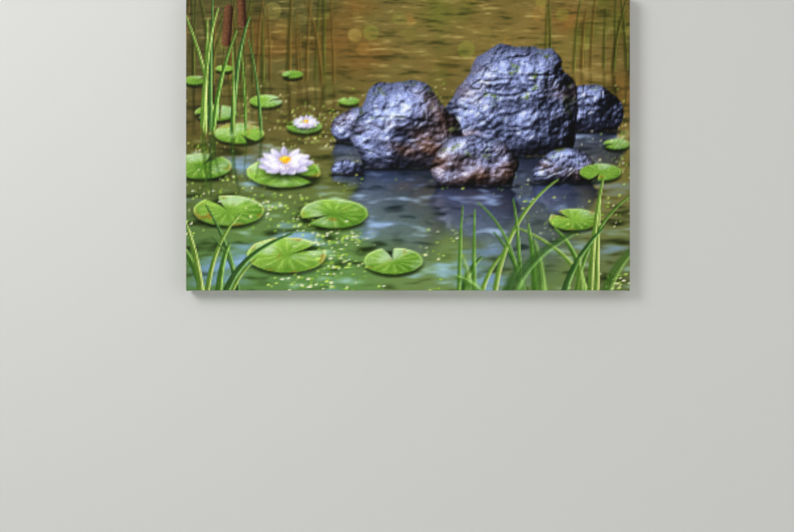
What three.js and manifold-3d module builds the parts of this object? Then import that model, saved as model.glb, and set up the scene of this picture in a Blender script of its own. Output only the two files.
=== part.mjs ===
// A stretched canvas wall print, hung by two strap rings on two picture hooks.
// The cloth wraps four mitred softwood bars, with a brace between them, wedges in the corners
// and the hanging hardware behind.
// Millimetres. +X runs to the viewer's right, +Y goes back into the wall and +Z is up.
// The wall's face is the plane y = 0. The origin lies on it, midway between the two points
// where the hooks' nails go in.

import * as THREE from "three";
import { mergeVertices } from "three/addons/utils/BufferGeometryUtils.js";
import Module from "manifold-3d";

// ---- Driving dimensions ----

const PRINT_WIDTH = 1219; // 48 inches
const PRINT_HEIGHT = 813; // 32 inches
const PRINT_DEPTH = 38; // 1.5 inches, cloth included
const CLOTH = 0.6; // the cloth's thickness
const GAP = 0.3; // between pieces that touch
const FLAP = 27; // how far the cloth is turned in over the back
const ROLL = 1.8; // outer radius of the cloth's folds
const BAR_WIDTH = 44;
const BEAD = 6; // the bar's raised outer rim, the only wood behind the face that the cloth meets
const BAR_FALL = 5; // how far the bar's front falls back from its rim to its inner edge
const BRACE_WIDTH = 38;
const BRACE_THICK = 16;
const BRACE_SET = 9; // how far the brace's back sits in front of the bars' backs
const TENON = [26, 8, 12]; // width, thickness and length of the brace's tongues
const KEY_SLOT = [30, 12, 3.6]; // length, depth and thickness of a wedge's slot
const WALL_GAP = 8; // the bumpers' height, which holds the print off the wall
const BUMPER_RADIUS = 6;
const BUMPER_INSET = [50, 14]; // from the print's side and bottom edges, clear of its folded corners
const RING_DROP = 120; // the rings' tips, below the print's top edge
const HANGER_INSET = 36; // from the print's side edge to the middle of its strap, on bare wood
const HOOK_REACH = 28; // the rings' tips, below the nails' entry into the wall
const HOOK_WIDTH = 7;
const HOOK_SHEET = 1; // the hook's sheet metal
const TROUGH_RADIUS = 2; // inside the hook's bend
const SEAT_GAP = 0.5; // straight down from the ring's bow to the trough, about GAP across its slant
const NAIL_TILT = (35 * Math.PI) / 180; // the nail points down into the wall
const NAIL_RADIUS = 0.9;
const NAIL_LENGTH = 28;
const EAR_REACH = 5; // along the nail, from the wall to the hook's folded ear
const RING_RADIUS = 1.1; // of the round wire that a ring is bent from
const RING_BEND = 2; // middle radius of the ring's two corners
const RING_TIP = 12.5; // from the ring's hinge to its tip
const RING_HALF = 8; // half the ring's width
const STRAP_SHEET = 1;
const STRAP_WIDTH = 11;
const STRAP_LENGTH = 33;
const SCREWS_AT = { upper: 12, lower: 26 }; // below the ring's hinge

// ---- Levels and edges worked out from them ----

const TOP = RING_DROP - HOOK_REACH;
const BOTTOM = TOP - PRINT_HEIGHT;
const MIDDLE = (TOP + BOTTOM) / 2;
const CLOTH_BACK = -WALL_GAP;
const CLOTH_FRONT = CLOTH_BACK - PRINT_DEPTH;
const INSET = CLOTH + GAP;
const BAR_BACK = CLOTH_BACK - INSET;
const BAR_FRONT = CLOTH_FRONT + INSET;
const BAR_MIDDLE = (BAR_FRONT + BAR_BACK) / 2;
const FRAME_WIDTH = PRINT_WIDTH - 2 * INSET;
const FRAME_HEIGHT = PRINT_HEIGHT - 2 * INSET;
const BRACE_BACK = BAR_BACK - BRACE_SET;
const STRAP_BACK = BAR_BACK + GAP + STRAP_SHEET; // the strap's face towards the wall
const HINGE_Y = STRAP_BACK + RING_RADIUS + GAP; // the ring's level
const HANGER_X = PRINT_WIDTH / 2 - HANGER_INSET;
const HOOK_MIDDLE = -HOOK_SHEET - TROUGH_RADIUS; // the level of the trough's lowest line

// The ring's bow is half an ellipse, so it meets the hook at the hook's two edges. There it has
// fallen a little below its tip, and it crosses the trough at a slant.
const BOW = RING_TIP - RING_BEND;
const EDGE_SHARE = HOOK_WIDTH / 2 / RING_HALF;
const EDGE_FALL = Math.sqrt(1 - EDGE_SHARE ** 2);
const BOW_AT_EDGE = RING_BEND + BOW * EDGE_FALL; // from the hinge to the bow over the hook's edge
const EDGE_SLANT = Math.atan((BOW * EDGE_SHARE) / (RING_HALF * EDGE_FALL));
const RING_LEAN = Math.asin((HOOK_MIDDLE - HINGE_Y) / BOW_AT_EDGE); // from the bar to the hook
const HANGER_Z = -HOOK_REACH - RING_TIP * Math.cos(RING_LEAN);
const BOW_UNDERSIDE = (BOW_AT_EDGE - RING_RADIUS / Math.cos(EDGE_SLANT)) * Math.cos(RING_LEAN);
const TROUGH_Z = HANGER_Z + BOW_UNDERSIDE - SEAT_GAP + TROUGH_RADIUS; // the centre of the bend
const SIDES = { left: -1, right: 1 };

const wasm = await Module();
wasm.setup();

const canvasPrint = new THREE.Group();

const materials = {
  print: new THREE.MeshStandardMaterial({ color: 0x6a7158, roughness: 0.75, metalness: 0 }),
  pine: new THREE.MeshStandardMaterial({ color: 0xd8b582, roughness: 0.7, metalness: 0 }),
  beech: new THREE.MeshStandardMaterial({ color: 0xc99f6c, roughness: 0.6, metalness: 0 }),
  nickel: new THREE.MeshStandardMaterial({ color: 0xb9bab8, roughness: 0.3, metalness: 1 }),
  steel: new THREE.MeshStandardMaterial({ color: 0x9a9c9e, roughness: 0.4, metalness: 1 }),
  brass: new THREE.MeshStandardMaterial({ color: 0xc9a24b, roughness: 0.3, metalness: 1 }),
  rubber: new THREE.MeshStandardMaterial({ color: 0x2c2b29, roughness: 0.8, metalness: 0 }),
};

function addPiece(name, geometry, material) {
  const piece = new THREE.Mesh(geometry, material);
  piece.name = name;
  canvasPrint.add(piece);
  return piece;
}

// ---- Solids: joining, cutting and plain shapes ----

function solidOf(geometry) {
  const bare = geometry.index ? geometry.toNonIndexed() : geometry;
  const merged = mergeVertices(
    new THREE.BufferGeometry().setAttribute("position", bare.getAttribute("position")),
    1e-4,
  );
  return new wasm.Manifold(
    new wasm.Mesh({
      numProp: 3,
      vertProperties: merged.attributes.position.array,
      triVerts: new Uint32Array(merged.index.array),
    }),
  );
}

function geometryOf(solid) {
  const mesh = solid.getMesh();
  const geometry = new THREE.BufferGeometry();
  geometry.setAttribute("position", new THREE.BufferAttribute(mesh.vertProperties, 3));
  geometry.setIndex(new THREE.BufferAttribute(mesh.triVerts, 1));
  return geometry;
}

function cut(geometry, tools) {
  return geometryOf(tools.reduce((left, tool) => left.subtract(solidOf(tool)), solidOf(geometry)));
}

function join(geometry, others) {
  return geometryOf(others.reduce((sum, other) => sum.add(solidOf(other)), solidOf(geometry)));
}

// A box between two corners.
function block(low, high) {
  const size = high.map((value, i) => value - low[i]);
  const centre = high.map((value, i) => (value + low[i]) / 2);
  return new THREE.BoxGeometry(...size).translate(...centre);
}

// A round rod between two points.
function rod(from, to, radius, sides = 16) {
  const start = new THREE.Vector3(...from);
  const along = new THREE.Vector3(...to).sub(start);
  const turn = new THREE.Quaternion().setFromUnitVectors(
    new THREE.Vector3(0, 1, 0),
    along.clone().normalize(),
  );
  return new THREE.CylinderGeometry(radius, radius, along.length(), sides)
    .applyQuaternion(turn)
    .translate(...start.addScaledVector(along, 0.5).toArray());
}

// A flat plate, drawn as [x, z] points, with its thickness across Y about the level y.
function plate(points, thickness, y) {
  const shape = new THREE.Shape(points.map(([x, z]) => new THREE.Vector2(x, z)));
  return new THREE.ExtrudeGeometry(shape, { depth: thickness, bevelEnabled: false })
    .rotateX(Math.PI / 2)
    .translate(0, y + thickness / 2, 0);
}

// A bar drawn by its section as [y, z] points, running along X about x = 0.
function bar(section, length) {
  const shape = new THREE.Shape(section.map(([y, z]) => new THREE.Vector2(y, z)));
  const turn = new THREE.Matrix4().makeBasis(
    new THREE.Vector3(0, 1, 0),
    new THREE.Vector3(0, 0, 1),
    new THREE.Vector3(1, 0, 0),
  );
  return new THREE.ExtrudeGeometry(shape, { depth: length, bevelEnabled: false })
    .applyMatrix4(turn)
    .translate(-length / 2, 0, 0);
}

// The outline of a bent strip of sheet, from the middle line of its section.
function ribbon(line, thickness) {
  const side = (sign) =>
    line.map((point, i) => {
      const before = line[Math.max(i - 1, 0)];
      const after = line[Math.min(i + 1, line.length - 1)];
      const run = Math.hypot(after[0] - before[0], after[1] - before[1]);
      const normal = [-(after[1] - before[1]) / run, (after[0] - before[0]) / run];
      return point.map((value, axis) => value + (sign * thickness * normal[axis]) / 2);
    });
  return [...side(1), ...side(-1).reverse()];
}

// Points on an arc, from one angle to another in degrees.
function arc([centreA, centreB], radius, from, to, steps) {
  return Array.from({ length: steps + 1 }, (_, step) => {
    const angle = ((from + ((to - from) * step) / steps) * Math.PI) / 180;
    return [centreA + radius * Math.cos(angle), centreB + radius * Math.sin(angle)];
  });
}

// A round rod bent into a loop, through points [x, z] that lie in the plane y = 0.
function loopOf(points, radius, sides) {
  const line = points.map(([x, z]) => new THREE.Vector3(x, 0, z));
  const count = line.length;
  const back = new THREE.Vector3(0, 1, 0);
  const vertices = [];
  const faces = [];
  for (let i = 0; i < count; i++) {
    const before = line[(i + count - 1) % count];
    const after = line[(i + 1) % count];
    const across = after.clone().sub(before).normalize().cross(back);
    for (let side = 0; side < sides; side++) {
      const angle = (2 * Math.PI * side) / sides;
      const point = line[i].clone();
      point.addScaledVector(back, radius * Math.cos(angle));
      point.addScaledVector(across, radius * Math.sin(angle));
      vertices.push(...point.toArray());
    }
  }
  for (let i = 0; i < count; i++) {
    for (let side = 0; side < sides; side++) {
      const next = (side + 1) % sides;
      const here = i * sides;
      const there = ((i + 1) % count) * sides;
      faces.push(here + side, here + next, there + next, here + side, there + next, there + side);
    }
  }
  return meshOf(vertices, faces);
}

function meshOf(vertices, faces) {
  const geometry = new THREE.BufferGeometry();
  geometry.setAttribute("position", new THREE.Float32BufferAttribute(vertices, 3));
  geometry.setIndex(faces);
  return geometry;
}

// ---- Canvas: one cloth over the front, round the edges and in over the back ----

const CORNER_RADIUS = 1.5;
const CORNER_STEPS = 3;

// One loop round the print at a distance in from its edge, with rounded corners.
function clothLoop([inset, y]) {
  const radius = Math.max(CORNER_RADIUS - inset, 0.4);
  const halfWidth = PRINT_WIDTH / 2 - inset - radius;
  const halfHeight = PRINT_HEIGHT / 2 - inset - radius;
  return [0, 1, 2, 3].flatMap((corner) => {
    const x = (corner === 0 || corner === 3 ? 1 : -1) * halfWidth;
    const z = MIDDLE + (corner < 2 ? 1 : -1) * halfHeight;
    return arc([x, z], radius, corner * 90, corner * 90 + 90, CORNER_STEPS).map((point) => [
      point[0],
      y,
      point[1],
    ]);
  });
}

// The cloth's section as [inset, y] pairs: along its outside from the face to the flap's edge,
// then back along its inside.
function clothSection() {
  const side = (radius) => [
    ...arc([ROLL, CLOTH_FRONT + ROLL], radius, 270, 180, 4),
    ...arc([ROLL, CLOTH_BACK - ROLL], radius, 180, 90, 4),
  ];
  return [
    ...side(ROLL),
    [FLAP, CLOTH_BACK],
    [FLAP, CLOTH_BACK - CLOTH],
    ...side(ROLL - CLOTH).reverse(),
  ];
}

function clothGeometry() {
  const loops = clothSection().map(clothLoop);
  const count = loops[0].length;
  const vertices = loops.flat(2);
  const faces = [];
  for (let loop = 0; loop < loops.length - 1; loop++) {
    for (let i = 0; i < count; i++) {
      const a = loop * count + i;
      const b = loop * count + ((i + 1) % count);
      faces.push(a, a + count, b + count, a, b + count, b);
    }
  }
  const face = vertices.length / 3;
  vertices.push(0, CLOTH_FRONT, MIDDLE, 0, CLOTH_FRONT + CLOTH, MIDDLE);
  const inside = (loops.length - 1) * count;
  for (let i = 0; i < count; i++) {
    const next = (i + 1) % count;
    faces.push(face, i, next, face + 1, inside + next, inside + i);
  }
  return meshOf(vertices, faces);
}

// ---- Stretcher bars: drawn along X with the outer edge at z = 0, then turned into place ----

const BAR_SECTION = [
  [BAR_FRONT + 0.8, 0],
  [BAR_FRONT, -0.8],
  [BAR_FRONT, -BEAD],
  [BAR_FRONT + 1.2, -BEAD - 2],
  [BAR_FRONT + BAR_FALL, 1 - BAR_WIDTH],
  [BAR_FRONT + BAR_FALL + 1, -BAR_WIDTH],
  [BAR_BACK - 1, -BAR_WIDTH],
  [BAR_BACK, 1 - BAR_WIDTH],
  [BAR_BACK, -0.8],
  [BAR_BACK - 0.8, 0],
];

// Each end is cut at 45 degrees, from the full length outside to less inside.
function mitredBar(length) {
  const geometry = bar(BAR_SECTION, length);
  const position = geometry.getAttribute("position");
  for (let i = 0; i < position.count; i++) {
    const cutBack = -position.getZ(i) + GAP / Math.SQRT2;
    position.setX(i, position.getX(i) - Math.sign(position.getX(i)) * cutBack);
  }
  return geometry;
}

// A slot by each inner corner takes a wedge. The two at one corner are at different levels.
function keySlots(length, level) {
  const [slotLength, depth, thickness] = KEY_SLOT;
  return [-1, 1].map((end) => {
    const corner = end * (length / 2 - BAR_WIDTH);
    const reach = [corner - end * slotLength, corner + end * (depth + 1)];
    return block(
      [Math.min(...reach), level - thickness / 2, -BAR_WIDTH - 1],
      [Math.max(...reach), level + thickness / 2, depth - BAR_WIDTH],
    );
  });
}

// A wedge's straight edge lies in the slot's bottom, and its thick end shows in the corner.
function keyGeometry(length, level, end) {
  const [slotLength, depth, thickness] = KEY_SLOT;
  const points = [
    [1.2, depth - GAP],
    [slotLength - GAP, depth - GAP],
    [slotLength - GAP, -9],
    [1.2, 3],
  ];
  const corner = length / 2 - BAR_WIDTH;
  const placed = points.map(([run, rise]) => [end * (corner - run), rise - BAR_WIDTH]);
  return plate(placed, thickness - 2 * GAP, level);
}

function addBars() {
  const sides = [
    { name: "top", turn: 0, out: [0, TOP - INSET], length: FRAME_WIDTH, level: -3 },
    { name: "right", turn: 90, out: [FRAME_WIDTH / 2, MIDDLE], length: FRAME_HEIGHT, level: 3 },
    { name: "bottom", turn: 180, out: [0, BOTTOM + INSET], length: FRAME_WIDTH, level: -3 },
    { name: "left", turn: 270, out: [-FRAME_WIDTH / 2, MIDDLE], length: FRAME_HEIGHT, level: 3 },
  ];
  for (const { name, turn, out, length, level } of sides) {
    const place = (geometry) =>
      geometry.rotateY((turn * Math.PI) / 180).translate(out[0], 0, out[1]);
    const slots = keySlots(length, BAR_MIDDLE + level);
    const slotted = place(cut(mitredBar(length), slots));
    const holes = name === "left" || name === "right" ? screwHoles(name) : [braceMortise(name)];
    addPiece(`bar_${name}`, cut(slotted, holes), materials.pine);
    for (const end of [-1, 1]) {
      const key = place(keyGeometry(length, BAR_MIDDLE + level, end));
      addPiece(`key_${name}_${end < 0 ? "a" : "b"}`, key, materials.beech);
    }
  }
}

// ---- Brace: an upright from the top bar to the bottom one, tongued into both ----

const BRACE_MIDDLE = BRACE_BACK - BRACE_THICK / 2;
const INNER_TOP = TOP - INSET - BAR_WIDTH;
const INNER_BOTTOM = BOTTOM + INSET + BAR_WIDTH;

function tongue(low, high, play) {
  const halfWidth = TENON[0] / 2 + play;
  const halfThick = TENON[1] / 2 + play;
  return block(
    [-halfWidth, BRACE_MIDDLE - halfThick, low],
    [halfWidth, BRACE_MIDDLE + halfThick, high],
  );
}

function braceMortise(name) {
  const depth = TENON[2] + GAP;
  return name === "top"
    ? tongue(INNER_TOP - 1, INNER_TOP + depth, GAP)
    : tongue(INNER_BOTTOM - depth, INNER_BOTTOM + 1, GAP);
}

function addBrace() {
  const post = block(
    [-BRACE_WIDTH / 2, BRACE_MIDDLE - BRACE_THICK / 2, INNER_BOTTOM + GAP],
    [BRACE_WIDTH / 2, BRACE_MIDDLE + BRACE_THICK / 2, INNER_TOP - GAP],
  );
  const tongues = tongue(INNER_BOTTOM - TENON[2], INNER_TOP + TENON[2], 0);
  addPiece("brace", join(post, [tongues]), materials.pine);
}

// ---- Bumpers: rubber feet on the bottom corners that meet the wall ----

function addBumpers() {
  const profile = [
    [0, CLOTH_BACK + GAP],
    [BUMPER_RADIUS, CLOTH_BACK + GAP],
    [BUMPER_RADIUS, -1.6],
    [BUMPER_RADIUS - 0.5, -0.5],
    [BUMPER_RADIUS - 1.6, 0],
    [0, 0],
  ].map(([radius, y]) => new THREE.Vector2(radius, y));
  const [inFromSide, upFromBottom] = BUMPER_INSET;
  for (const [name, side] of Object.entries(SIDES)) {
    const bumper = new THREE.LatheGeometry(profile, 32).translate(
      side * (PRINT_WIDTH / 2 - inFromSide),
      0,
      BOTTOM + upFromBottom,
    );
    addPiece(`bumper_${name}`, bumper, materials.rubber);
  }
}

// ---- Hangers: drawn with the ring's hinge at x = 0 and its tip towards +X, then turned so
// that the tip is up ----

function placeHanger(geometry, name) {
  return geometry.rotateY(-Math.PI / 2).translate(SIDES[name] * HANGER_X, 0, HANGER_Z);
}

function screwHole(at, radius, from, to) {
  return rod([-at, from, 0], [-at, to, 0], radius, 20);
}

function strapGeometry() {
  const middle = STRAP_BACK - STRAP_SHEET / 2;
  const curl = arc([HINGE_Y, 0], HINGE_Y - middle, 180, -110, 18);
  const outline = ribbon([[middle, -STRAP_LENGTH], ...curl], STRAP_SHEET);
  const strip = bar(outline, STRAP_WIDTH).rotateY(Math.PI / 2);
  return cut(strip, Object.values(SCREWS_AT).map((at) => screwHole(at, 1.9, BAR_BACK, 0)));
}

// The ring leans from its hinge towards the wall, where its bow lies in the hook.
function ringGeometry() {
  const corner = RING_HALF - RING_BEND;
  const bow = arc([0, 0], 1, 90, -90, 20).map(([x, z]) => [RING_BEND + BOW * x, RING_HALF * z]);
  const loop = [
    ...arc([RING_BEND, corner], RING_BEND, 180, 90, 4),
    ...bow.slice(1, -1),
    ...arc([RING_BEND, -corner], RING_BEND, 270, 180, 4),
  ];
  return loopOf(loop, RING_RADIUS, 12).rotateZ(RING_LEAN).translate(0, HINGE_Y, 0);
}

const SCREW_SEAT = STRAP_BACK + GAP;

function screwGeometry(at) {
  const profile = [
    [0, -12.5],
    [1.5, -9.5],
    [1.5, 0],
    [3.25, 0],
    [3.25, 0.8],
    [2.5, 1.8],
    [1.4, 2],
    [0, 2],
  ].map(([radius, y]) => new THREE.Vector2(radius, y));
  return new THREE.LatheGeometry(profile, 20).translate(-at, SCREW_SEAT, 0);
}

// Holes in the bar, wide enough to clear the screws.
function screwHoles(name) {
  return Object.values(SCREWS_AT).map((at) =>
    placeHanger(screwHole(at, 1.8, SCREW_SEAT - 13, BAR_BACK + 1), name),
  );
}

function addHangers() {
  for (const name of Object.keys(SIDES)) {
    addPiece(`strap_${name}`, placeHanger(strapGeometry(), name), materials.nickel);
    addPiece(`ring_${name}`, placeHanger(ringGeometry(), name), materials.nickel);
    for (const [level, at] of Object.entries(SCREWS_AT)) {
      addPiece(`screw_${name}_${level}`, placeHanger(screwGeometry(at), name), materials.steel);
    }
  }
}

// ---- Hooks and nails: a bent brass strip each, its folded ear square to the slanting nail ----

const INTO_WALL = [0, Math.cos(NAIL_TILT), -Math.sin(NAIL_TILT)];

function onNail(distance) {
  return INTO_WALL.map((value) => value * distance);
}

function hookGeometry() {
  const half = HOOK_SHEET / 2;
  const [, earY, earZ] = onNail(-EAR_REACH);
  const slope = [Math.sin(NAIL_TILT), Math.cos(NAIL_TILT)];
  const fold = 0.9;
  const rise = (-half - fold - earY - fold * slope[1]) / slope[0];
  const foldCentre = [-half - fold, earZ + rise * slope[1] - fold * slope[0]];
  const lipY = HOOK_MIDDLE - TROUGH_RADIUS - half;
  const line = [
    [earY - 3.5 * slope[0], earZ - 3.5 * slope[1]],
    ...arc(foldCentre, fold, 180 - (NAIL_TILT * 180) / Math.PI, 0, 8),
    ...arc([HOOK_MIDDLE, TROUGH_Z], TROUGH_RADIUS + half, 0, -180, 14),
    [lipY, TROUGH_Z + 4.5],
    [lipY - 0.8, TROUGH_Z + 6],
  ];
  const strip = bar(ribbon(line, HOOK_SHEET), HOOK_WIDTH);
  return cut(strip, [rod(onNail(-14), onNail(3), NAIL_RADIUS + GAP, 20)]);
}

function nailGeometry() {
  const head = EAR_REACH + HOOK_SHEET / 2 + GAP;
  const tip = NAIL_LENGTH - head - 1;
  const shank = rod(onNail(-head - 0.2), onNail(tip - 3), NAIL_RADIUS, 16);
  const point = new THREE.CylinderGeometry(0.15, NAIL_RADIUS, 3, 16);
  const turn = new THREE.Quaternion().setFromUnitVectors(
    new THREE.Vector3(0, 1, 0),
    new THREE.Vector3(...INTO_WALL),
  );
  point.applyQuaternion(turn).translate(...onNail(tip - 1.5));
  const cap = rod(onNail(-head), onNail(-head - 1), 2.25, 24);
  return join(shank, [point, cap]);
}

function addHooks() {
  for (const [name, side] of Object.entries(SIDES)) {
    const place = (geometry) => geometry.translate(side * HANGER_X, 0, 0);
    addPiece(`wall_hook_${name}`, place(hookGeometry()), materials.brass);
    addPiece(`hook_nail_${name}`, place(nailGeometry()), materials.steel);
  }
}

addPiece("canvas", clothGeometry(), materials.print);
addBars();
addBrace();
addBumpers();
addHangers();
addHooks();

export default canvasPrint;
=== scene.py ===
# %% [markdown]
# # A canvas print, front and back
# This lesson dresses a stretched canvas print that hangs by two rings on two picture hooks. The
# wooden bars, the wedges and most of the metal hardware come from the CAD model and only need
# their finish. The cloth, its printed picture, the screws and the staples are made here.
# Everything is in metres: +X to the viewer's right, +Y back into the wall, +Z up.

import math

import bpy
import numpy as np
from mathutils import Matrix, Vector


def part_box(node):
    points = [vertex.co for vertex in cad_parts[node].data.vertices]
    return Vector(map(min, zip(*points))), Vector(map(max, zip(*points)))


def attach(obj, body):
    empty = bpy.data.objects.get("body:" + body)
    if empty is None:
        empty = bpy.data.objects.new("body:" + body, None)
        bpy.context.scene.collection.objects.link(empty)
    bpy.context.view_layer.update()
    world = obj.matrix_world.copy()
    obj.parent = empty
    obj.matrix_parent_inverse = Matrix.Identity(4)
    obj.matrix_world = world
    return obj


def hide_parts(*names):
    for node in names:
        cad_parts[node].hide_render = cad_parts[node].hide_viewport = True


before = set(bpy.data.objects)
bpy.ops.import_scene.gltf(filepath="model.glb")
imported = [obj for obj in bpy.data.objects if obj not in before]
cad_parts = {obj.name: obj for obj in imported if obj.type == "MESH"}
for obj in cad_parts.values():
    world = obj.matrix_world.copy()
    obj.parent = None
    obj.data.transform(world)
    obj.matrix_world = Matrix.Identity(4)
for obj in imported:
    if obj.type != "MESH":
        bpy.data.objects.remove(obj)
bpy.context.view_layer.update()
bpy.ops.object.select_all(action="DESELECT")

# %% [markdown]
# ## Measures
# The cloth's own box says how wide, tall and deep the print is. The few sizes that a box can't
# tell, such as the roll of the folded edge, are written down as the maker would say them.

# %% Read the print's size
MM = 0.001
CLOTH = 0.0006  # thickness of the primed cotton
ROLL = 0.0018  # outer radius of its folds
FLAP = 0.027  # how far it is turned in over the back

cloth_low, cloth_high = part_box("canvas")
WIDTH = cloth_high.x - cloth_low.x
HEIGHT = cloth_high.z - cloth_low.z
FRONT, BACK = cloth_low.y, cloth_high.y
DEPTH = BACK - FRONT
TOP, BOTTOM = cloth_high.z, cloth_low.z
MIDDLE = (TOP + BOTTOM) / 2
print(f"print {WIDTH:.3f} x {HEIGHT:.3f} m, {DEPTH:.3f} m deep")

# %% [markdown]
# ## Camera
# A wall print is looked at straight on, from a few steps back, with a level lens. Here it hangs
# high: the eye is only just above the print's bottom edge, and slightly left of its middle.

# %% Place the camera
EYE_DISTANCE = 3.028
EYE_LEFT = 0.0302
EYE_ABOVE_BOTTOM = 0.0673
LENS, SENSOR = 50, 36  # in millimetres

bpy.ops.object.camera_add(
    location=(-EYE_LEFT, FRONT - EYE_DISTANCE, BOTTOM + EYE_ABOVE_BOTTOM),
    rotation=(math.pi / 2, 0, 0),
)
camera = bpy.context.object
camera.name = "eye_level_camera"
camera.data.lens = LENS
camera.data.sensor_width = SENSOR
bpy.context.scene.camera = camera
print("camera at", [round(value, 3) for value in camera.location])

# %% [markdown]
# ## Small helpers
# Modelling by hand in edit mode means picking faces or edges, then running an operator on
# them. These helpers do the picking by place, so that the steps below read like a recipe.


# %% Helpers for modelling
def start_piece(name):
    """Names the primitive that was just added, and applies its size and turn."""
    piece = bpy.context.object
    piece.name = name
    piece.data.name = name
    bpy.ops.object.transform_apply(location=True, rotation=True, scale=True)
    return piece


def only(*pieces):
    """Selects these pieces and nothing else, the last one active."""
    if bpy.context.object and bpy.context.object.mode != "OBJECT":
        bpy.ops.object.mode_set(mode="OBJECT")
    bpy.ops.object.select_all(action="DESELECT")
    for piece in pieces:
        piece.select_set(True)
    bpy.context.view_layer.objects.active = pieces[-1]


def edit(piece, mode="FACE"):
    """Opens a piece in edit mode with nothing selected."""
    only(piece)
    bpy.ops.object.mode_set(mode="EDIT")
    bpy.ops.mesh.select_mode(type=mode)
    bpy.ops.mesh.select_all(action="DESELECT")


def pick_faces(piece, wanted):
    """Selects the faces whose middle and normal pass a test, and stays in edit mode."""
    bpy.ops.mesh.select_mode(type="FACE")
    bpy.ops.mesh.select_all(action="DESELECT")
    bpy.ops.object.mode_set(mode="OBJECT")
    for face in piece.data.polygons:
        face.select = bool(wanted(face.center, face.normal))
    bpy.ops.object.mode_set(mode="EDIT")


def leave():
    bpy.ops.object.mode_set(mode="OBJECT")


def vertices_of(piece):
    """A piece's corners as an array of points."""
    points = np.empty(len(piece.data.vertices) * 3)
    piece.data.vertices.foreach_get("co", points)
    return points.reshape(-1, 3)


def move_vertices(piece, points):
    piece.data.vertices.foreach_set("co", np.ascontiguousarray(points, float).ravel())
    piece.data.update()


def apply_modifier(piece, kind, **settings):
    """Adds a modifier and applies it at once."""
    only(piece)
    modifier = piece.modifiers.new(kind.lower(), kind)
    for setting, value in settings.items():
        setattr(modifier, setting, value)
    bpy.ops.object.modifier_apply(modifier=modifier.name)


def settle(piece, slot, finish, *nodes):
    """Gives a finished piece its material and its place on the frame. The slot is not used."""
    if finish is not None:
        piece.data.materials.clear()
        piece.data.materials.append(finish)
    if nodes:
        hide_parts(*nodes)
    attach(piece, "root")
    print(f"{piece.name}: {len(piece.data.polygons)} faces")


# %% [markdown]
# ## Chance that can be repeated
# A printed picture and a worn surface need irregular shapes that come out the same each time.
# Lattice noise gives each whole-number point its own fixed slope and blends between them.
# Adding finer and fainter copies of it makes the cloudy patterns of water and stone.


# %% Noise
NOISE_GAIN = 1.5  # brings the noise up to about -1 to 1


def lattice(column, row, seed):
    """A fixed number between 0 and 1 for each point of a grid."""
    mixed = (column * 374761393 + row * 668265263 + seed * 974634777) & 0xFFFFFFFF
    mixed = ((mixed ^ (mixed >> 13)) * 1274126177) & 0xFFFFFFFF
    return ((mixed ^ (mixed >> 16)) & 0xFFFF) / 65535.0


def noise(x, y, seed):
    """A smooth pattern with a bump or a dip at about every whole step."""
    x, y = np.broadcast_arrays(np.asarray(x, float), np.asarray(y, float))
    column, row = np.floor(x).astype(np.int64), np.floor(y).astype(np.int64)
    fx, fy = x - column, y - row
    sx = fx * fx * fx * (fx * (fx * 6 - 15) + 10)
    sy = fy * fy * fy * (fy * (fy * 6 - 15) + 10)
    total = np.zeros_like(x)
    for dx in (0, 1):
        for dy in (0, 1):
            angle = lattice(column + dx, row + dy, seed) * 2 * np.pi
            slope = np.cos(angle) * (fx - dx) + np.sin(angle) * (fy - dy)
            total += slope * (sx if dx else 1 - sx) * (sy if dy else 1 - sy)
    return total * NOISE_GAIN


def cloudy(x, y, octaves, seed, gain=0.5):
    """Noise with finer and fainter copies of itself added."""
    total, weight, size = 0.0, 1.0, 0.0
    for octave in range(octaves):
        total = total + weight * noise(x * 2**octave, y * 2**octave, seed + 17 * octave)
        size += weight
        weight *= gain
    return total / size


def ramp(low, high, value):
    """0 up to low, 1 from high, and a smooth rise between them."""
    t = np.clip((value - low) / (high - low), 0, 1)
    return t * t * (3 - 2 * t)


def blend(a, b, share):
    """From colour a to colour b, by a share for each point."""
    share = np.asarray(share)[..., None]
    return np.asarray(a) * (1 - share) + np.asarray(b) * share


# %% [markdown]
# ## The printed picture
# The cloth carries a lifelike scene: still water in low sun, with wet stones, lily pads
# and reeds. No picture file is used. The scene is painted here, layer over layer from the far
# water to the near reeds, on a grid of plain numbers. Places in it are u, from 0 at the left
# to 1.5 at the right, and v, from 0 at the top to 1 at the bottom.


# %% A sheet to paint on
WIDE = WIDTH / HEIGHT


class Painting:
    """Colours, and how much bare water or stone shows, at each point of a fine grid."""

    def __init__(self, columns, rows):
        self.columns, self.rows = columns, rows
        self.u, self.v = np.meshgrid(
            (np.arange(columns) + 0.5) / columns * WIDE, (np.arange(rows) + 0.5) / rows
        )
        self.colour = np.zeros((rows, columns, 3))
        self.water = np.ones((rows, columns))
        self.stone = np.zeros((rows, columns))

    def window(self, left, right, top, bottom):
        """The part of the grid between two corners."""
        columns = [int(np.clip(x / WIDE * self.columns, 0, self.columns)) for x in (left, right)]
        rows = [int(np.clip(y * self.rows, 0, self.rows)) for y in (top, bottom)]
        return slice(rows[0], rows[1] + 1), slice(columns[0], columns[1] + 1)

    def over(self, area, colour, cover, stone=False):
        """Lays a colour over a part of the grid."""
        cover = np.clip(cover, 0, 1)
        self.colour[area] = blend(self.colour[area], colour, cover)
        self.water[area] = self.water[area] * (1 - cover)
        self.stone[area] = self.stone[area] * (1 - cover) + (cover if stone else 0)


# %% [markdown]
# ### Water
# The pond is seen from above at a slant, so the same ripples look flatter and finer towards
# the top. Low sun and a brown bed colour the far water gold and olive. Near the viewer the
# water turns green, with cool patches of sky.

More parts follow.
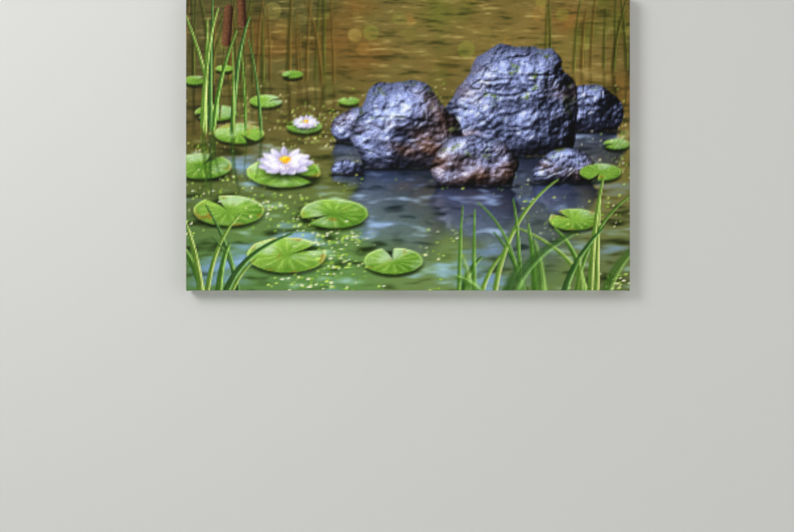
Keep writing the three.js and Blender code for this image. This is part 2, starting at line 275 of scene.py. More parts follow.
# %% Paint the water
HORIZON = -1.0
OLIVE_WATER, GOLD_WATER = [0.36, 0.345, 0.20], [0.475, 0.415, 0.235]
GREEN_WATER, TAN_WATER = [0.38, 0.50, 0.28], [0.43, 0.47, 0.29]
PEAT, RUST, WEED = [0.23, 0.235, 0.11], [0.47, 0.335, 0.17], [0.33, 0.41, 0.15]
WAVE_SHADE, POOL_OF_SKY = [0.12, 0.15, 0.07], [0.50, 0.62, 0.74]
FAR_GLOW, NEAR_GLOW = [0.74, 0.68, 0.42], [0.66, 0.78, 0.66]


def ripples(u, v):
    """Slow and quick waves, which draw together towards the far water."""
    depth = 1 / (v - HORIZON)
    across = (u - WIDE / 2) * depth
    slow = cloudy(across * 9, depth * 60, 3, 3)
    quick = cloudy(across * 22 + 5, depth * 150, 2, 9)
    return slow * 0.75 + quick * 0.4


def paint_water(sheet):
    """Far and near water, patches of its bed, waves and pools of sky, in that order."""
    u, v = sheet.u, sheet.v
    low_sun = ramp(0.1, 1.25, u + 0.25 * noise(u * 1.6, v * 2.2, 31))
    far = blend(OLIVE_WATER, GOLD_WATER, low_sun)
    shade = ramp(0.5, 1.4, u + 0.3 * noise(u * 2, v * 2, 8))
    near = blend(GREEN_WATER, TAN_WATER, shade)
    colour = blend(far, near, ramp(0.42, 0.95, v))
    drift = 0.5 * noise(u * 4, v * 9, 12)
    for tint, pattern, low, high, reach, share in (
        (PEAT, cloudy(u * 4 + drift, v * 2.4 + 4, 4, 21), -0.08, 0.6, 0.75, 0.62),
        (RUST, cloudy(u * 3 + 7, v * 3.4, 3, 44), 0.05, 0.6, 0.85, 0.6),
        (WEED, cloudy(u * 4 + 2, v * 2.6 + 9, 3, 52), 0.0, 0.55, 1.0, 0.5),
    ):
        colour = blend(colour, tint, ramp(low, high, pattern) * ramp(reach, 0, v) * share)
    wave = ripples(u, v)
    strength = 0.6 + 0.4 * ramp(0.1, 0.8, v)
    glow = blend(FAR_GLOW, NEAR_GLOW, ramp(0.25, 0.75, v))
    colour = blend(colour, WAVE_SHADE, ramp(0.02, 0.55, -wave) * 0.72 * strength)
    colour = blend(colour, glow, ramp(0.10, 0.62, wave) * 0.72 * strength)
    sky = cloudy(u * 2.6 + 11, v * 9, 3, 66) + 0.5 * wave
    colour = blend(colour, POOL_OF_SKY, ramp(0.05, 0.55, sky) * ramp(0.38, 0.62, v) * 0.68)
    sheet.colour[:] = colour
    sheet.wave = wave


# %% [markdown]
# Sunlit leaves far behind the pond are out of focus, so they show as soft round spots.

# %% Paint the sun spots
SUN_SPOTS = 34
SPOT_TINTS = ([0.72, 0.66, 0.36], [0.55, 0.62, 0.26], [0.68, 0.52, 0.26])


def paint_sun_spots(sheet):
    """Soft round lights in the blurred far water."""
    dice = np.random.default_rng(5)
    for _ in range(SUN_SPOTS):
        cu, cv, radius = dice.uniform(0, WIDE), dice.uniform(-0.02, 0.2), dice.uniform(0.012, 0.034)
        colour, cover = SPOT_TINTS[dice.integers(3)], dice.uniform(0.07, 0.24)
        area = sheet.window(cu - radius, cu + radius, cv - radius, cv + radius)
        reach = np.hypot(sheet.u[area] - cu, sheet.v[area] - cv) / radius
        sheet.over(area, colour, ramp(1.0, 0.8, reach) * cover * (0.8 + 0.4 * reach))


# %% [markdown]
# ### Stones
# Each boulder is a dome that stands on its own waterline. Its surface normal comes from the
# dome and from the slope of a noise pattern, and a sun at the upper left shades it. Wet stone
# picks up the blue of the sky on top, and the body runs from slate to brown in bands.

# %% Shape and colour a stone
# middle, waterline, half width, height, lean, and how brown it is
STONES = (
    (1.345, 0.46, 0.13, 0.16, 0.1, 0.25),
    (0.60, 0.50, 0.11, 0.12, -0.2, 0.7),
    (1.09, 0.545, 0.245, 0.375, 0.12, 0.30),
    (0.765, 0.585, 0.205, 0.285, -0.18, 0.45),
    (0.97, 0.645, 0.155, 0.17, 0.05, 0.85),
    (1.27, 0.635, 0.115, 0.11, 0.2, 0.5),
    (0.545, 0.605, 0.06, 0.045, 0.0, 0.3),
)
SUN_FROM, GLINT_FROM = (-0.52, 0.66, 0.50), (-0.42, 0.54, 0.73)  # left, up and towards the eye
RELIEF = 0.085
SLATE, BROWN_STONE = [0.385, 0.410, 0.480], [0.48, 0.365, 0.28]
SKY_SHINE, SUN_GLINT = [0.70, 0.75, 0.88], [0.92, 0.95, 1.0]
DARK_MOSS, LIT_MOSS = [0.17, 0.22, 0.07], [0.60, 0.70, 0.28]
WET_FOOT, FOOT_SHADE, FOAM = [0.07, 0.07, 0.08], [0.07, 0.08, 0.07], [0.76, 0.79, 0.82]
MIRROR_HAZE, MIRROR_CREST = [0.34, 0.42, 0.58], [0.66, 0.74, 0.84]
MIRROR_TROUGH = [0.09, 0.13, 0.15]


def lit_from(direction, nx, ny, nz):
    """How squarely a surface faces a light, from 0 to 1."""
    return np.clip(nx * direction[0] + ny * direction[1] + nz * direction[2], 0, 1)


def stone_look(u, v, stone, seed, bumpy=True, soft=0.010):
    """A stone's colours, and where it covers what is behind it."""
    middle, line, half, tall, lean, brownness = stone
    up = (line - v) / tall
    belly = 0.82 + 0.18 * ramp(-0.05, 0.42, up)  # a boulder draws in where it meets the water
    side = (u - middle - lean * half * up) / (half * belly)
    outline = 0.16 * cloudy(u * 6 + seed, v * 6, 3, 60 + seed)
    reach = (np.abs(side) ** 2.3 + np.clip(up, 0, None) ** 2.2) ** (1 / 2.25) + outline
    dome = np.sqrt(np.clip(1 - np.clip(reach, 0, 1) ** 2, 0, 1))
    warp = 0.35 * cloudy(u * 5 + seed, v * 5, 3, 44)
    slant = u * (5 if seed % 2 else -4)
    band = cloudy(u * 2.4 + seed, v * 10 - slant + warp * 2.2, 4, 40 + seed, 0.5)
    grit = cloudy(u * 60, v * 64, 3, 81, 0.7)
    crack = np.exp(-((cloudy(u * 2.8 + 4 + warp, v * 3.4 + seed, 4, 80 + seed) / 0.016) ** 2))
    nx, ny, nz = side * np.abs(side) ** 0.5, np.clip(up, 0, 1.2), 0.45 + dome
    if bumpy:
        lumps = cloudy(u * 7 + seed * 3, v * 8, 4, 70 + seed, 0.5)
        bump = 0.50 * lumps + 0.08 * band + 0.040 * grit - 0.05 * crack
        nx = nx - RELIEF * np.gradient(bump, axis=1) / (u[0, 1] - u[0, 0])
        ny = ny + RELIEF * np.gradient(bump, axis=0) / (v[1, 0] - v[0, 0])
    size = np.sqrt(nx * nx + ny * ny + nz * nz)
    nx, ny, nz = nx / size, ny / size, nz / size
    sun = lit_from(SUN_FROM, nx, ny, nz)
    sky = np.clip(ny * 1.1 + 0.15 - nx * 0.35, 0, 1)
    brown = cloudy(u * 4 + seed, v * 5 + 2, 3, 90 + seed) + (brownness - 0.60) * 0.9 + 0.5 * band
    brown = ramp(-0.30, 0.50, brown)
    body = blend(SLATE, BROWN_STONE, brown)
    body = body * (1 + 0.26 * grit + 0.20 * band)[..., None]
    colour = body * (0.20 + 1.02 * sun[..., None] ** 1.15)
    shine = np.clip(sky * sun * 1.15 - 0.10 + 0.25 * band, 0, 1) * (0.80 - 0.35 * brown)
    colour = blend(colour, SKY_SHINE, shine)
    hollow = np.clip(crack * 0.22 + ramp(0.15, 0.6, -band) * 0.24, 0, 1)
    colour = blend(colour, colour * 0.45, hollow)
    facing = lit_from(GLINT_FROM, nx, ny, nz)
    wet = ramp(-0.05, 0.45, cloudy(u * 24, v * 40 + seed, 3, 7, 0.7) + 0.12)
    glint = np.clip((facing**20 * 0.40 + facing**80 * 0.80) * wet, 0, 0.88)
    colour = blend(colour, SUN_GLINT, glint)
    moss = cloudy(u * 15 + seed, v * 16, 5, 33 + seed, 0.7) + 0.35 * ny - 0.30
    green = blend(DARK_MOSS, LIT_MOSS, sun * (0.8 + 0.5 * grit))
    colour = blend(colour, green, ramp(0.06, 0.36, moss) * ramp(0.2, 0.55, up) * 0.85)
    colour = blend(colour, WET_FOOT, ramp(0.22, 0.0, up) * 0.66)
    colour = colour * (0.60 + 0.40 * ramp(1.0, 0.82, reach))[..., None]
    return np.clip(colour, 0, 1), ramp(1 + soft, 1 - soft, reach) * (up > 0)


# %% [markdown]
# A stone is looked up twice: once upside down under its waterline, at places that the waves
# push about, and once as it stands.


# %% Paint the stones and their mirror images
def paint_reflection(sheet, stone, seed):
    """The stone upside down in the water, bent by the waves and paler with depth."""
    middle, line, half, tall = stone[:4]
    area = sheet.window(middle - half * 1.7, middle + half * 1.7, line - 0.01, line + tall * 1.15)
    u, v, wave = sheet.u[area], sheet.v[area], sheet.wave[area]
    below = np.clip((v - line) / tall, 0, 1.2)
    bent_u = u + wave * (0.012 + 0.035 * below)
    bent_v = line - (v - line) * 0.95 + wave * (0.01 + 0.05 * below)
    soft = 0.03 + 0.16 * below
    colour, cover = stone_look(bent_u, bent_v, stone, seed, bumpy=False, soft=soft)
    colour = blend(colour * 0.62, MIRROR_HAZE, 0.30)
    colour = blend(colour, MIRROR_CREST, ramp(0.12, 0.6, wave) * 0.62)
    colour = blend(colour, MIRROR_TROUGH, ramp(0.08, 0.5, -wave) * 0.6)
    water = sheet.water.copy()
    sheet.over(area, colour, cover * (v > line) * (0.92 - 0.5 * below))
    sheet.water = water


def paint_stone(sheet, stone, seed):
    """The stone itself, over a dark line of contact and under a broken rim of foam."""
    middle, line, half, tall = stone[:4]
    area = sheet.window(middle - half * 1.6, middle + half * 1.6, line - tall * 1.35, line + 0.03)
    u, v = sheet.u[area], sheet.v[area]
    edge = line + 0.004 * noise(u * 30, 3 + seed, 5)
    near = np.abs((u - middle) / half)
    contact = np.exp(-(((v - edge - 0.004) / 0.006) ** 2)) * ramp(1.15, 0.85, near)
    sheet.over(area, FOOT_SHADE, contact * 0.75 * (v > edge - 0.01))
    colour, cover = stone_look(u, v, stone, seed)
    sheet.over(area, colour, cover * ramp(edge + 0.0015, edge - 0.0015, v), stone=True)
    rim = np.exp(-(((v - edge - 0.001) / 0.0022) ** 2)) * ramp(1.08, 0.9, near)
    broken = ramp(-0.1, 0.5, cloudy(u * 17 + seed, 1.5, 4, seed, 0.75))
    sheet.over(area, FOAM, rim * broken * 0.42)


# %% [markdown]
# ### Lily pads
# A pad is a disc with a slit, squashed because it lies flat on the water. Veins run out from
# its middle, its rim catches light and a dark shade lies under it.

# %% Paint the pads
# middle, radius, direction of the slit in degrees, and how light it is
PADS = (
    (0.13, 0.25, 0.03, 100, 0.4),
    (0.36, 0.27, 0.035, 230, 0.3),
    (0.03, 0.29, 0.04, 30, 0.5),
    (0.27, 0.36, 0.055, 20, 0.5),
    (0.55, 0.36, 0.035, 100, 0.6),
    (1.455, 0.505, 0.045, 195, 0.5),
    (0.10, 0.40, 0.070, 200, 0.2),
    (0.40, 0.445, 0.060, 160, 0.1),
    (0.18, 0.47, 0.085, 300, 0.7),
    (0.05, 0.58, 0.105, 60, 0.4),
    (0.33, 0.60, 0.125, 330, 0.75),
    (1.40, 0.60, 0.070, 250, 0.3),
    (0.145, 0.73, 0.120, 120, 0.6),
    (0.50, 0.74, 0.115, 210, 0.35),
    (1.31, 0.76, 0.085, 140, 0.65),
    (0.34, 0.88, 0.135, 30, 0.85),
    (0.70, 0.90, 0.10, 100, 0.5),
)
PAD_SHADE, PAD_EDGE = [0.09, 0.12, 0.05], [0.16, 0.25, 0.08]
DARK_PAD, LIGHT_PAD = [0.25, 0.39, 0.13], [0.56, 0.69, 0.30]
VEIN, PAD_SHEEN, DRY_LEAF, PAD_RIM = (
    [0.68, 0.78, 0.42],
    [0.76, 0.80, 0.80],
    [0.55, 0.43, 0.18],
    [0.80, 0.87, 0.55],
)


def paint_pad(sheet, cu, cv, radius, slit, light, seed):
    """One pad, over the shade that it casts on the water."""
    area = sheet.window(cu - radius * 1.2, cu + radius * 1.2, cv - radius * 0.6, cv + radius * 0.75)
    u, v = sheet.u[area], sheet.v[area]
    flat = radius * 0.40 * (0.85 + 0.3 * cv)
    x, y = (u - cu) / radius, (v - cv) / flat
    angle, reach = np.arctan2(-y, x), np.hypot(x, y)
    wavy = 1 + 0.03 * noise(angle * 2.2 + 9, seed, seed) + 0.012 * noise(angle * 9, seed, 4)
    turn = np.abs((angle - np.radians(slit) + np.pi) % (2 * np.pi) - np.pi)
    open_slit = ramp(0.0, 0.03, turn - 0.20 * np.clip(reach, 0.15, 1))
    soft = 0.0022 / flat
    cover = ramp(wavy + soft, wavy - soft, reach) * np.maximum(open_slit, ramp(0.12, 0.05, reach))
    sheet.over(area, PAD_SHADE, ramp(1.12, 0.86, np.hypot(x, y - 0.012 / flat)) * 0.62)
    tone = 0.40 + 0.32 * light + 0.35 * cloudy(u * 10, v * 22, 3, seed) - 0.18 * y - 0.12 * x
    colour = blend(DARK_PAD, LIGHT_PAD, np.clip(tone, 0, 1))
    veins = (1 - np.abs(np.sin(angle * 6.5 + seed)) ** 0.35) * ramp(0.1, 0.4, reach)
    colour = blend(colour, VEIN, veins * ramp(1.0, 0.7, reach) * 0.7)
    sheen = ramp(0.0, 0.6, cloudy(u * 8 + 3, v * 16 + seed, 3, 12 + seed) + 0.1 - 0.3 * y)
    colour = blend(colour, PAD_SHEEN, sheen * 0.42)
    dry = cloudy(u * 17, v * 30, 3, 14 + seed) + 0.35 * ramp(0.7, 1, reach) * (light > 0.55)
    colour = blend(colour, DRY_LEAF, ramp(0.3, 0.6, dry) * 0.6)
    rim = np.exp(-(((reach - wavy * 0.965) / 0.028) ** 2))
    colour = blend(colour, PAD_RIM, rim * np.clip(0.45 - 0.4 * y, 0.05, 0.9))
    edge = np.exp(-(((reach - wavy) / 0.02) ** 2)) * ramp(0.1, 0.9, y)
    sheet.over(area, blend(colour, PAD_EDGE, edge * 0.6), cover)


# %% [markdown]
# ### Water lilies
# A water lily is rings of pointed petals, painted from the back ones to the front ones. Its
# heart is a grainy yellow spot.

# %% Paint the water lilies
FLOWERS = ((0.335, 0.575, 0.100, 6), (0.405, 0.436, 0.048, 8))  # middle, size and seed
# how many petals a ring has, their reach, width and lift, and how light they are
PETAL_RINGS = (
    (11, 1.0, 0.36, 0.10, 0.80),
    (10, 0.86, 0.34, 0.32, 0.90),
    (8, 0.66, 0.30, 0.50, 1.0),
)
FRONT_PETALS = (200, 250, 290, 335)  # in degrees
PETAL_BASE, PETAL_TIP, PETAL_SHADE = [0.93, 0.86, 0.78], [0.97, 0.95, 1.0], [0.70, 0.68, 0.86]
ORANGE_HEART, YELLOW_HEART = [0.80, 0.52, 0.08], [0.99, 0.86, 0.30]
FLOWER_SHADE = [0.08, 0.11, 0.06]


def paint_petal(sheet, base, tip, width, light, cool):
    """A pointed leaf shape from its base to its tip, with a fold along its middle."""
    room, soft = width * 1.2 + 0.004, 0.0016
    low, high = np.minimum(base, tip) - room, np.maximum(base, tip) + room
    area = sheet.window(low[0], high[0], low[1], high[1])
    u, v = sheet.u[area], sheet.v[area]
    run = np.subtract(tip, base)
    length = np.hypot(*run)
    run = run / length
    along = ((u - base[0]) * run[0] + (v - base[1]) * run[1]) / length
    aside = (u - base[0]) * -run[1] + (v - base[1]) * run[0]
    half = width * np.sin(np.pi * np.clip(along, 0, 1) ** 0.8) ** 0.75 * 0.5
    cover = ramp(half + soft, half - soft, np.abs(aside)) * (along > 0) * (along < 1)
    across = aside / (half + 1e-4)
    tone = light * (0.80 + 0.20 * along) * (1 - 0.16 * across**2 - 0.10 * across)
    colour = blend(PETAL_BASE, PETAL_TIP, ramp(0.1, 0.7, along)) * tone[..., None]
    colour = blend(colour, PETAL_SHADE, cool * (1 - ramp(0.0, 0.9, along)) * 0.7)
    colour = blend(colour, colour * 0.82, np.exp(-((across / 0.10) ** 2)) * 0.7)
    sheet.over(area, colour, cover)


def paint_flower(sheet, cu, cv, size, seed):
    """Three rings of petals round a yellow heart, and a few short petals in front of it."""
    dice = np.random.default_rng(seed)
    area = sheet.window(cu - size * 1.2, cu + size * 1.2, cv - size * 0.3, cv + size * 0.9)
    u, v = sheet.u[area], sheet.v[area]
    under = np.hypot((u - cu) / (size * 0.95), (v - cv - size * 0.18) / (size * 0.42))
    sheet.over(area, FLOWER_SHADE, ramp(1.1, 0.4, under) * 0.65)
    for ring, (count, reach, width, lift, light) in enumerate(PETAL_RINGS):
        shift = 0.5 * ring + dice.uniform(-0.15, 0.15, count)
        angles = (np.arange(count) + shift) * 2 * np.pi / count
        for angle in angles[np.argsort(-np.sin(angles))]:
            back = np.sin(angle)
            rise = size * (reach * 0.42 * back + lift * 0.75)
            tip = (cu + size * reach * np.cos(angle) * (1 - 0.15 * lift), cv - rise)
            base = (cu + size * 0.10 * np.cos(angle), cv - size * 0.04 * back)
            lit = light * (1.0 - 0.20 * max(0, back)) * dice.uniform(0.93, 1.02)
            paint_petal(sheet, base, tip, size * width, lit, 0.5 + 0.3 * (ring % 2))
    area = sheet.window(cu - size * 0.3, cu + size * 0.3, cv - size * 0.45, cv + size * 0.1)
    u, v = sheet.u[area], sheet.v[area]
    heart = np.hypot((u - cu) / (size * 0.20), (v - cv + size * 0.17) / (size * 0.13))
    grain = noise(u * 160, v * 110, 3)
    yellow = blend(ORANGE_HEART, YELLOW_HEART, ramp(-0.4, 0.5, grain))
    sheet.over(area, yellow, ramp(1.1, 0.75, heart + 0.18 * grain))
    for angle in np.radians(FRONT_PETALS):
        rise = size * (0.24 * np.sin(angle) + 0.12)
        tip = (cu + size * 0.52 * np.cos(angle), cv - rise)
        base = (cu + size * 0.05 * np.cos(angle), cv + size * 0.02)
        paint_petal(sheet, base, tip, size * 0.28, 0.98, 0.4)


# %% [markdown]
# ### Duckweed
# Duckweed is leaves of a few millimetres that drift together. Each leaf gets a chance place,
# and stays only where a slow noise pattern is high enough.

# %% Paint the duckweed
DUCKWEED_TINTS = ([0.66, 0.76, 0.36], [0.50, 0.62, 0.24], [0.85, 0.86, 0.62])


def paint_duckweed(sheet, seed, count):
    """Tiny floating leaves, in drifts on the water and the pads, but not up on the stones."""
    dice = np.random.default_rng(seed)
    made = 0
    while made < count:
        cu, cv = dice.uniform(0, WIDE), dice.uniform(0.3, 1.0)
        if noise(cu * 3.1, cv * 6.0, 77) < dice.uniform(-0.15, 0.9):
            continue
        made += 1
        radius = dice.uniform(0.0022, 0.0050) * (0.5 + cv)
        room = radius * 1.5
        area = sheet.window(cu - room, cu + room, cv - room, cv + room)
        u, v = sheet.u[area], sheet.v[area]
        reach = np.hypot((u - cu) / radius, (v - cv) / (radius * 0.55))
        afloat = 1 - sheet.stone[area]
        leaf = ramp(1.25, 0.7, reach) * 0.9 * afloat
        sheet.over(area, DUCKWEED_TINTS[dice.integers(3)], leaf)


# %% [markdown]
# ### Reeds
# A blade follows a curve from its foot to its tip. Each point near it is measured against the
# curve, which gives how far along and how far across the blade it is, and so its width and
# its shade. Blades far behind the subject, or right in front of it, are out of focus.


# %% Paint the reeds
def paint_blade(sheet, foot, bend, tip, width, dark, light, soft, cover=1.0, fade=0.0):
    """One blade along its curve, dark on one side of its middle rib and light on the other."""
    t = np.linspace(0, 1, 30)[:, None]
    curve = (1 - t) ** 2 * np.array(foot) + 2 * t * (1 - t) * np.array(bend) + t**2 * np.array(tip)
    low, high = curve.min(0) - width - soft * 2, curve.max(0) + width + soft * 2
    area = sheet.window(low[0], high[0], low[1], high[1])
    u, v = sheet.u[area], sheet.v[area]
    best, side, along = np.full(u.shape, 9.0), np.zeros_like(u), np.zeros_like(u)
    for i in range(len(t) - 1):
        start, run = curve[i], curve[i + 1] - curve[i]
        length = np.hypot(*run)
        share = np.clip(((u - start[0]) * run[0] + (v - start[1]) * run[1]) / length**2, 0, 1)
        du, dv = u - start[0] - share * run[0], v - start[1] - share * run[1]
        away = np.hypot(du, dv)
        closer = away < best
        best = np.where(closer, away, best)
        side = np.where(closer, (du * -run[1] + dv * run[0]) / length, side)
        along = np.where(closer, (i + share) / (len(t) - 1), along)
    half = width * 0.5 * np.clip(1.15 - along, 0, 1) ** 0.65 * (0.75 + 0.25 * ramp(0, 0.12, along))
    across = side / (half + 1e-5)
    own_seed = int(width * 9e4)  # each width gives other streaks
    streak = 0.6 + 0.4 * noise(along * 6, across * 0.5, own_seed)
    colour = blend(dark, light, (0.5 + 0.5 * np.clip(across * 1.3, -1, 1)) * streak)
    colour = blend(colour, np.array(dark) * 0.7, np.exp(-((across / 0.14) ** 2)) * 0.5)
    lip = ramp(0.45, 0.8, np.abs(across)) * ramp(1.0, 0.85, np.abs(across)) * (across > 0)
    colour = blend(colour, np.clip(np.array(light) * 1.18 + 0.04, 0, 1), lip * 0.7)
    shown = ramp(half + soft, half - soft, best) * cover
    if fade:
        shown = shown * ramp(0, fade, along)
    sheet.over(area, colour, shown)


LIMES = (
    ([0.25, 0.38, 0.15], [0.60, 0.73, 0.38]),
    ([0.33, 0.45, 0.18], [0.71, 0.78, 0.45]),
    ([0.21, 0.32, 0.16], [0.51, 0.65, 0.36]),
)
OLIVES = (([0.22, 0.24, 0.10], [0.45, 0.48, 0.22]), ([0.30, 0.25, 0.12], [0.55, 0.46, 0.24]))
IN_VIEW = 0.9  # a foot above this line stands in the picture, so it has a mirror image


def paint_reeds(sheet, seed, count, across, foot, tops, width, tints, soft, cover, lean):
    """A clump of blades, each with its own place, height, lean and width."""
    dice = np.random.default_rng(seed)
    for _ in range(count):
        u = dice.uniform(*across)
        top = dice.uniform(*tops)
        tilt = dice.normal(0, lean)
        base = foot + dice.uniform(0, 0.02)
        tall = foot - top
        bend = (u + tilt * 0.15 * tall, foot - tall * dice.uniform(0.5, 0.75))
        dark, light = tints[dice.integers(len(tints))]
        wide = width * dice.uniform(0.6, 1.25)
        standing = base < IN_VIEW
        if standing:
            sunk = (u + tilt * 0.4 * tall, base + tall * 0.45)
            bowed, mirror = (u, base + tall * 0.2), np.array(dark) * 0.75
            paint_blade(sheet, (u, base), bowed, sunk, wide, mirror, dark, 0.005, cover * 0.4)
        tip = (u + tilt * tall, top)
        fade = 0.06 if standing else 0.0
        paint_blade(sheet, (u, base), bend, tip, wide, dark, light, soft, cover, fade)


# %% [markdown]
# ### Cattails
# A cattail is one more thin blade, with a velvet spike near its tip. The spike is every point
# within its radius of a short line, shaded as a round bar.

# %% Paint the cattails
STEM_WIDTH, STEM_DARK, STEM_LIGHT = 0.0065, [0.25, 0.25, 0.11], [0.52, 0.54, 0.28]
DARK_VELVET, LIT_VELVET = [0.17, 0.11, 0.07], [0.51, 0.37, 0.25]


def paint_cattail(sheet, u, foot, top, lean, size):
    """A stem with a brown velvet spike near its top."""
    tip = np.array((u + lean, top))
    bend = (u + lean * 0.2, (foot + top) / 2)
    paint_blade(sheet, (u, foot), bend, tip, STEM_WIDTH, STEM_DARK, STEM_LIGHT, 0.0018)
    slope = np.array([lean * 0.9, top - foot])
    slope /= np.hypot(*slope)
    start = tip - slope * 0.005
    end = start - slope * size
    low, high = np.minimum(start, end) - 0.05, np.maximum(start, end) + 0.05
    area = sheet.window(low[0], high[0], low[1], high[1])
    u, v = sheet.u[area], sheet.v[area]
    run = end - start
    share = np.clip(((u - start[0]) * run[0] + (v - start[1]) * run[1]) / (run @ run), 0.06, 0.94)
    du, dv = u - start[0] - share * run[0], v - start[1] - share * run[1]
    radius = size * 0.115
    side = (du * -run[1] + dv * run[0]) / np.hypot(*run) / radius
    round_off = np.sqrt(np.clip(1 - side**2, 0, 1))
    lit = np.clip(0.25 + 0.5 * round_off + 0.45 * side, 0, 1)
    lit = lit * (0.85 + 0.25 * noise(u * 150, v * 150, 2))
    cover = ramp(radius + 0.0018, radius - 0.0018, np.hypot(du, dv))
    sheet.over(area, blend(DARK_VELVET, LIT_VELVET, lit), cover)


# %% [markdown]
# ### The whole scene
# The layers go on from far to near. Last comes the grading that a picture gets before it is
# printed: more contrast, a little more colour and corners that fall off slightly.


# %% Paint the scene
# seed, count, from and to across, foot, highest and lowest top, width, colours, softness,
# cover and lean
FAR_REEDS = (
    (3, 26, (-0.02, 0.5), 0.30, (-0.12, 0.10), 0.013, OLIVES, 0.0065, 0.75, 0.10),
    (4, 12, (1.15, 1.52), 0.26, (-0.12, 0.06), 0.012, OLIVES, 0.007, 0.7, 0.10),
)
NEAR_REEDS = (
    (7, 9, (0.04, 0.30), 0.47, (-0.05, 0.2), 0.014, LIMES, 0.0018, 1.0, 0.22),
    (21, 15, (0.86, 1.50), 1.03, (0.62, 0.90), 0.020, LIMES, 0.0018, 1.0, 0.55),
    (22, 8, (-0.03, 0.22), 1.03, (0.70, 0.92), 0.020, LIMES, 0.0018, 1.0, 0.5),
    (23, 7, (0.95, 1.5), 1.06, (0.78, 0.96), 0.045, LIMES, 0.012, 0.8, 0.5),
)
# place across, foot, top, lean and the spike's length
CATTAILS = ((0.115, 0.42, 0.035, 0.03, 0.13), (0.205, 0.40, -0.02, -0.02, 0.12))
FAR_DUCKWEED, NEAR_DUCKWEED = (11, 1100), (12, 260)  # seed and count
INK_GAIN = [1.05, 1.05, 1.13]
MID_TONE, CONTRAST, LIFT = 0.435, 1.36, 0.016
CORNER_FALL = 0.16


def paint_scene(columns, rows):
    """Every layer from far to near, and then the grading."""
    sheet = Painting(columns, rows)
    paint_water(sheet)
    paint_sun_spots(sheet)
    for clump in FAR_REEDS:
        paint_reeds(sheet, *clump)
    paint_duckweed(sheet, *FAR_DUCKWEED)
    for seed, stone in enumerate(STONES):
        paint_reflection(sheet, stone, seed)
    for seed, stone in enumerate(STONES):
        paint_stone(sheet, stone, seed)
    for seed, pad in enumerate(PADS):
        paint_pad(sheet, *pad, seed)
    for flower in FLOWERS:
        paint_flower(sheet, *flower)
    paint_duckweed(sheet, *NEAR_DUCKWEED)
    for cattail in CATTAILS:
        paint_cattail(sheet, *cattail)
    for clump in NEAR_REEDS:
        paint_reeds(sheet, *clump)
    graded = MID_TONE + (sheet.colour * INK_GAIN - MID_TONE) * CONTRAST + LIFT
    corner = np.hypot((sheet.u - WIDE / 2) / 0.98, (sheet.v - 0.5) / 0.80)
    falloff = 1 - CORNER_FALL * ramp(0.55, 1.05, corner)
    sheet.colour = np.clip(np.clip(graded, 0, 1) * falloff[..., None], 0, 1)
    return sheet


# %% [markdown]
# The cloth's face will be a grid of 3.6 mm cells. The scene is painted finer than that and
# averaged, which smooths its edges. A slight sharpening then brings the stones' grain back.

# %% Average the scene to the cloth's cells
CELLS_WIDE, CELLS_TALL = 336, 224
FINER = 3

scene_sheet = paint_scene(CELLS_WIDE * FINER, CELLS_TALL * FINER)
layers = np.dstack([scene_sheet.colour, scene_sheet.water, scene_sheet.stone])
layers = layers.reshape(CELLS_TALL, FINER, CELLS_WIDE, FINER, 5).mean(axis=(1, 3))


def blur(field):
    """Each cell's mean with the eight around it."""
    around = np.pad(field, ((1, 1), (1, 1), (0, 0)), mode="edge")
    tall, wide = field.shape[:2]
    shifted = [around[r : r + tall, c : c + wide] for r in range(3) for c in range(3)]
    return sum(shifted) / 9


SHARPEN = 0.75
colours = layers[..., :3]
layers[..., :3] = np.clip(colours + SHARPEN * (colours - blur(colours)), 0, 1)
print("picture", layers.shape, "mean colour", layers[..., :3].mean((0, 1)).round(3))


def picture_at(u, v):
    """The picture's layers at places in it, blended between cells."""
    column = np.clip(u / WIDE * CELLS_WIDE - 0.5, 0, CELLS_WIDE - 1.001)
    row = np.clip(v * CELLS_TALL - 0.5, 0, CELLS_TALL - 1.001)
    c, r = column.astype(int), row.astype(int)
    fc, fr = (column - c)[:, None], (row - r)[:, None]
    above = layers[r, c] * (1 - fc) + layers[r, c + 1] * fc
    below = layers[r + 1, c] * (1 - fc) + layers[r + 1, c + 1] * fc
    return above * (1 - fr) + below * fr


# %% [markdown]
# ## Canvas sheet
# The canvas is one cotton cloth over the front, round the edges and in over the back. It is
# modelled as it is stretched. A flat grid makes the face, and its open rim is extruded ring by
# ring over the front edge, along the side and round to the back, where it ends as a flap.

# %% Add the face
BACK_BEND = BACK - ROLL
PRINT_PAST_BACK = 0.005  # how far the picture runs on over the back
INK_EDGE = 0.0003  # half the width of the strip in which the ink ends
MID_FLAP = 0.016
bpy.ops.mesh.primitive_grid_add(
    x_subdivisions=CELLS_WIDE,
    y_subdivisions=CELLS_TALL,
    size=1,
    location=(0, FRONT, MIDDLE),
    rotation=(math.pi / 2, 0, 0),
)
bpy.context.object.scale = (WIDTH - 2 * ROLL, HEIGHT - 2 * ROLL, 1)
canvas = start_piece("canvas_sheet")
rim = {"inset": ROLL, "level": FRONT}
print("face:", len(canvas.data.polygons), "cells")


# %% Fold the rim over, ring by ring
def carry_rim(inset, level):
    """Extrudes the open rim to a new distance in from the print's edge and a new depth."""
    bpy.ops.mesh.extrude_region_move(
        TRANSFORM_OT_translate={"value": (0, level - rim["level"], 0)}
    )
    wider = (WIDTH / 2 - inset) / (WIDTH / 2 - rim["inset"])
    taller = (HEIGHT / 2 - inset) / (HEIGHT / 2 - rim["inset"])
    bpy.ops.transform.resize(value=(wider, 1, taller), center_override=(0, level, MIDDLE))
    rim["inset"], rim["level"] = inset, level


def roll_rim(radius, centre, start, end, count):
    """Takes the rim round a fold, between two angles in degrees."""
    for step in range(1, count + 1):
        angle = math.radians(start + (end - start) * step / count)
        carry_rim(ROLL - radius * math.sin(angle), centre - radius * math.cos(angle))


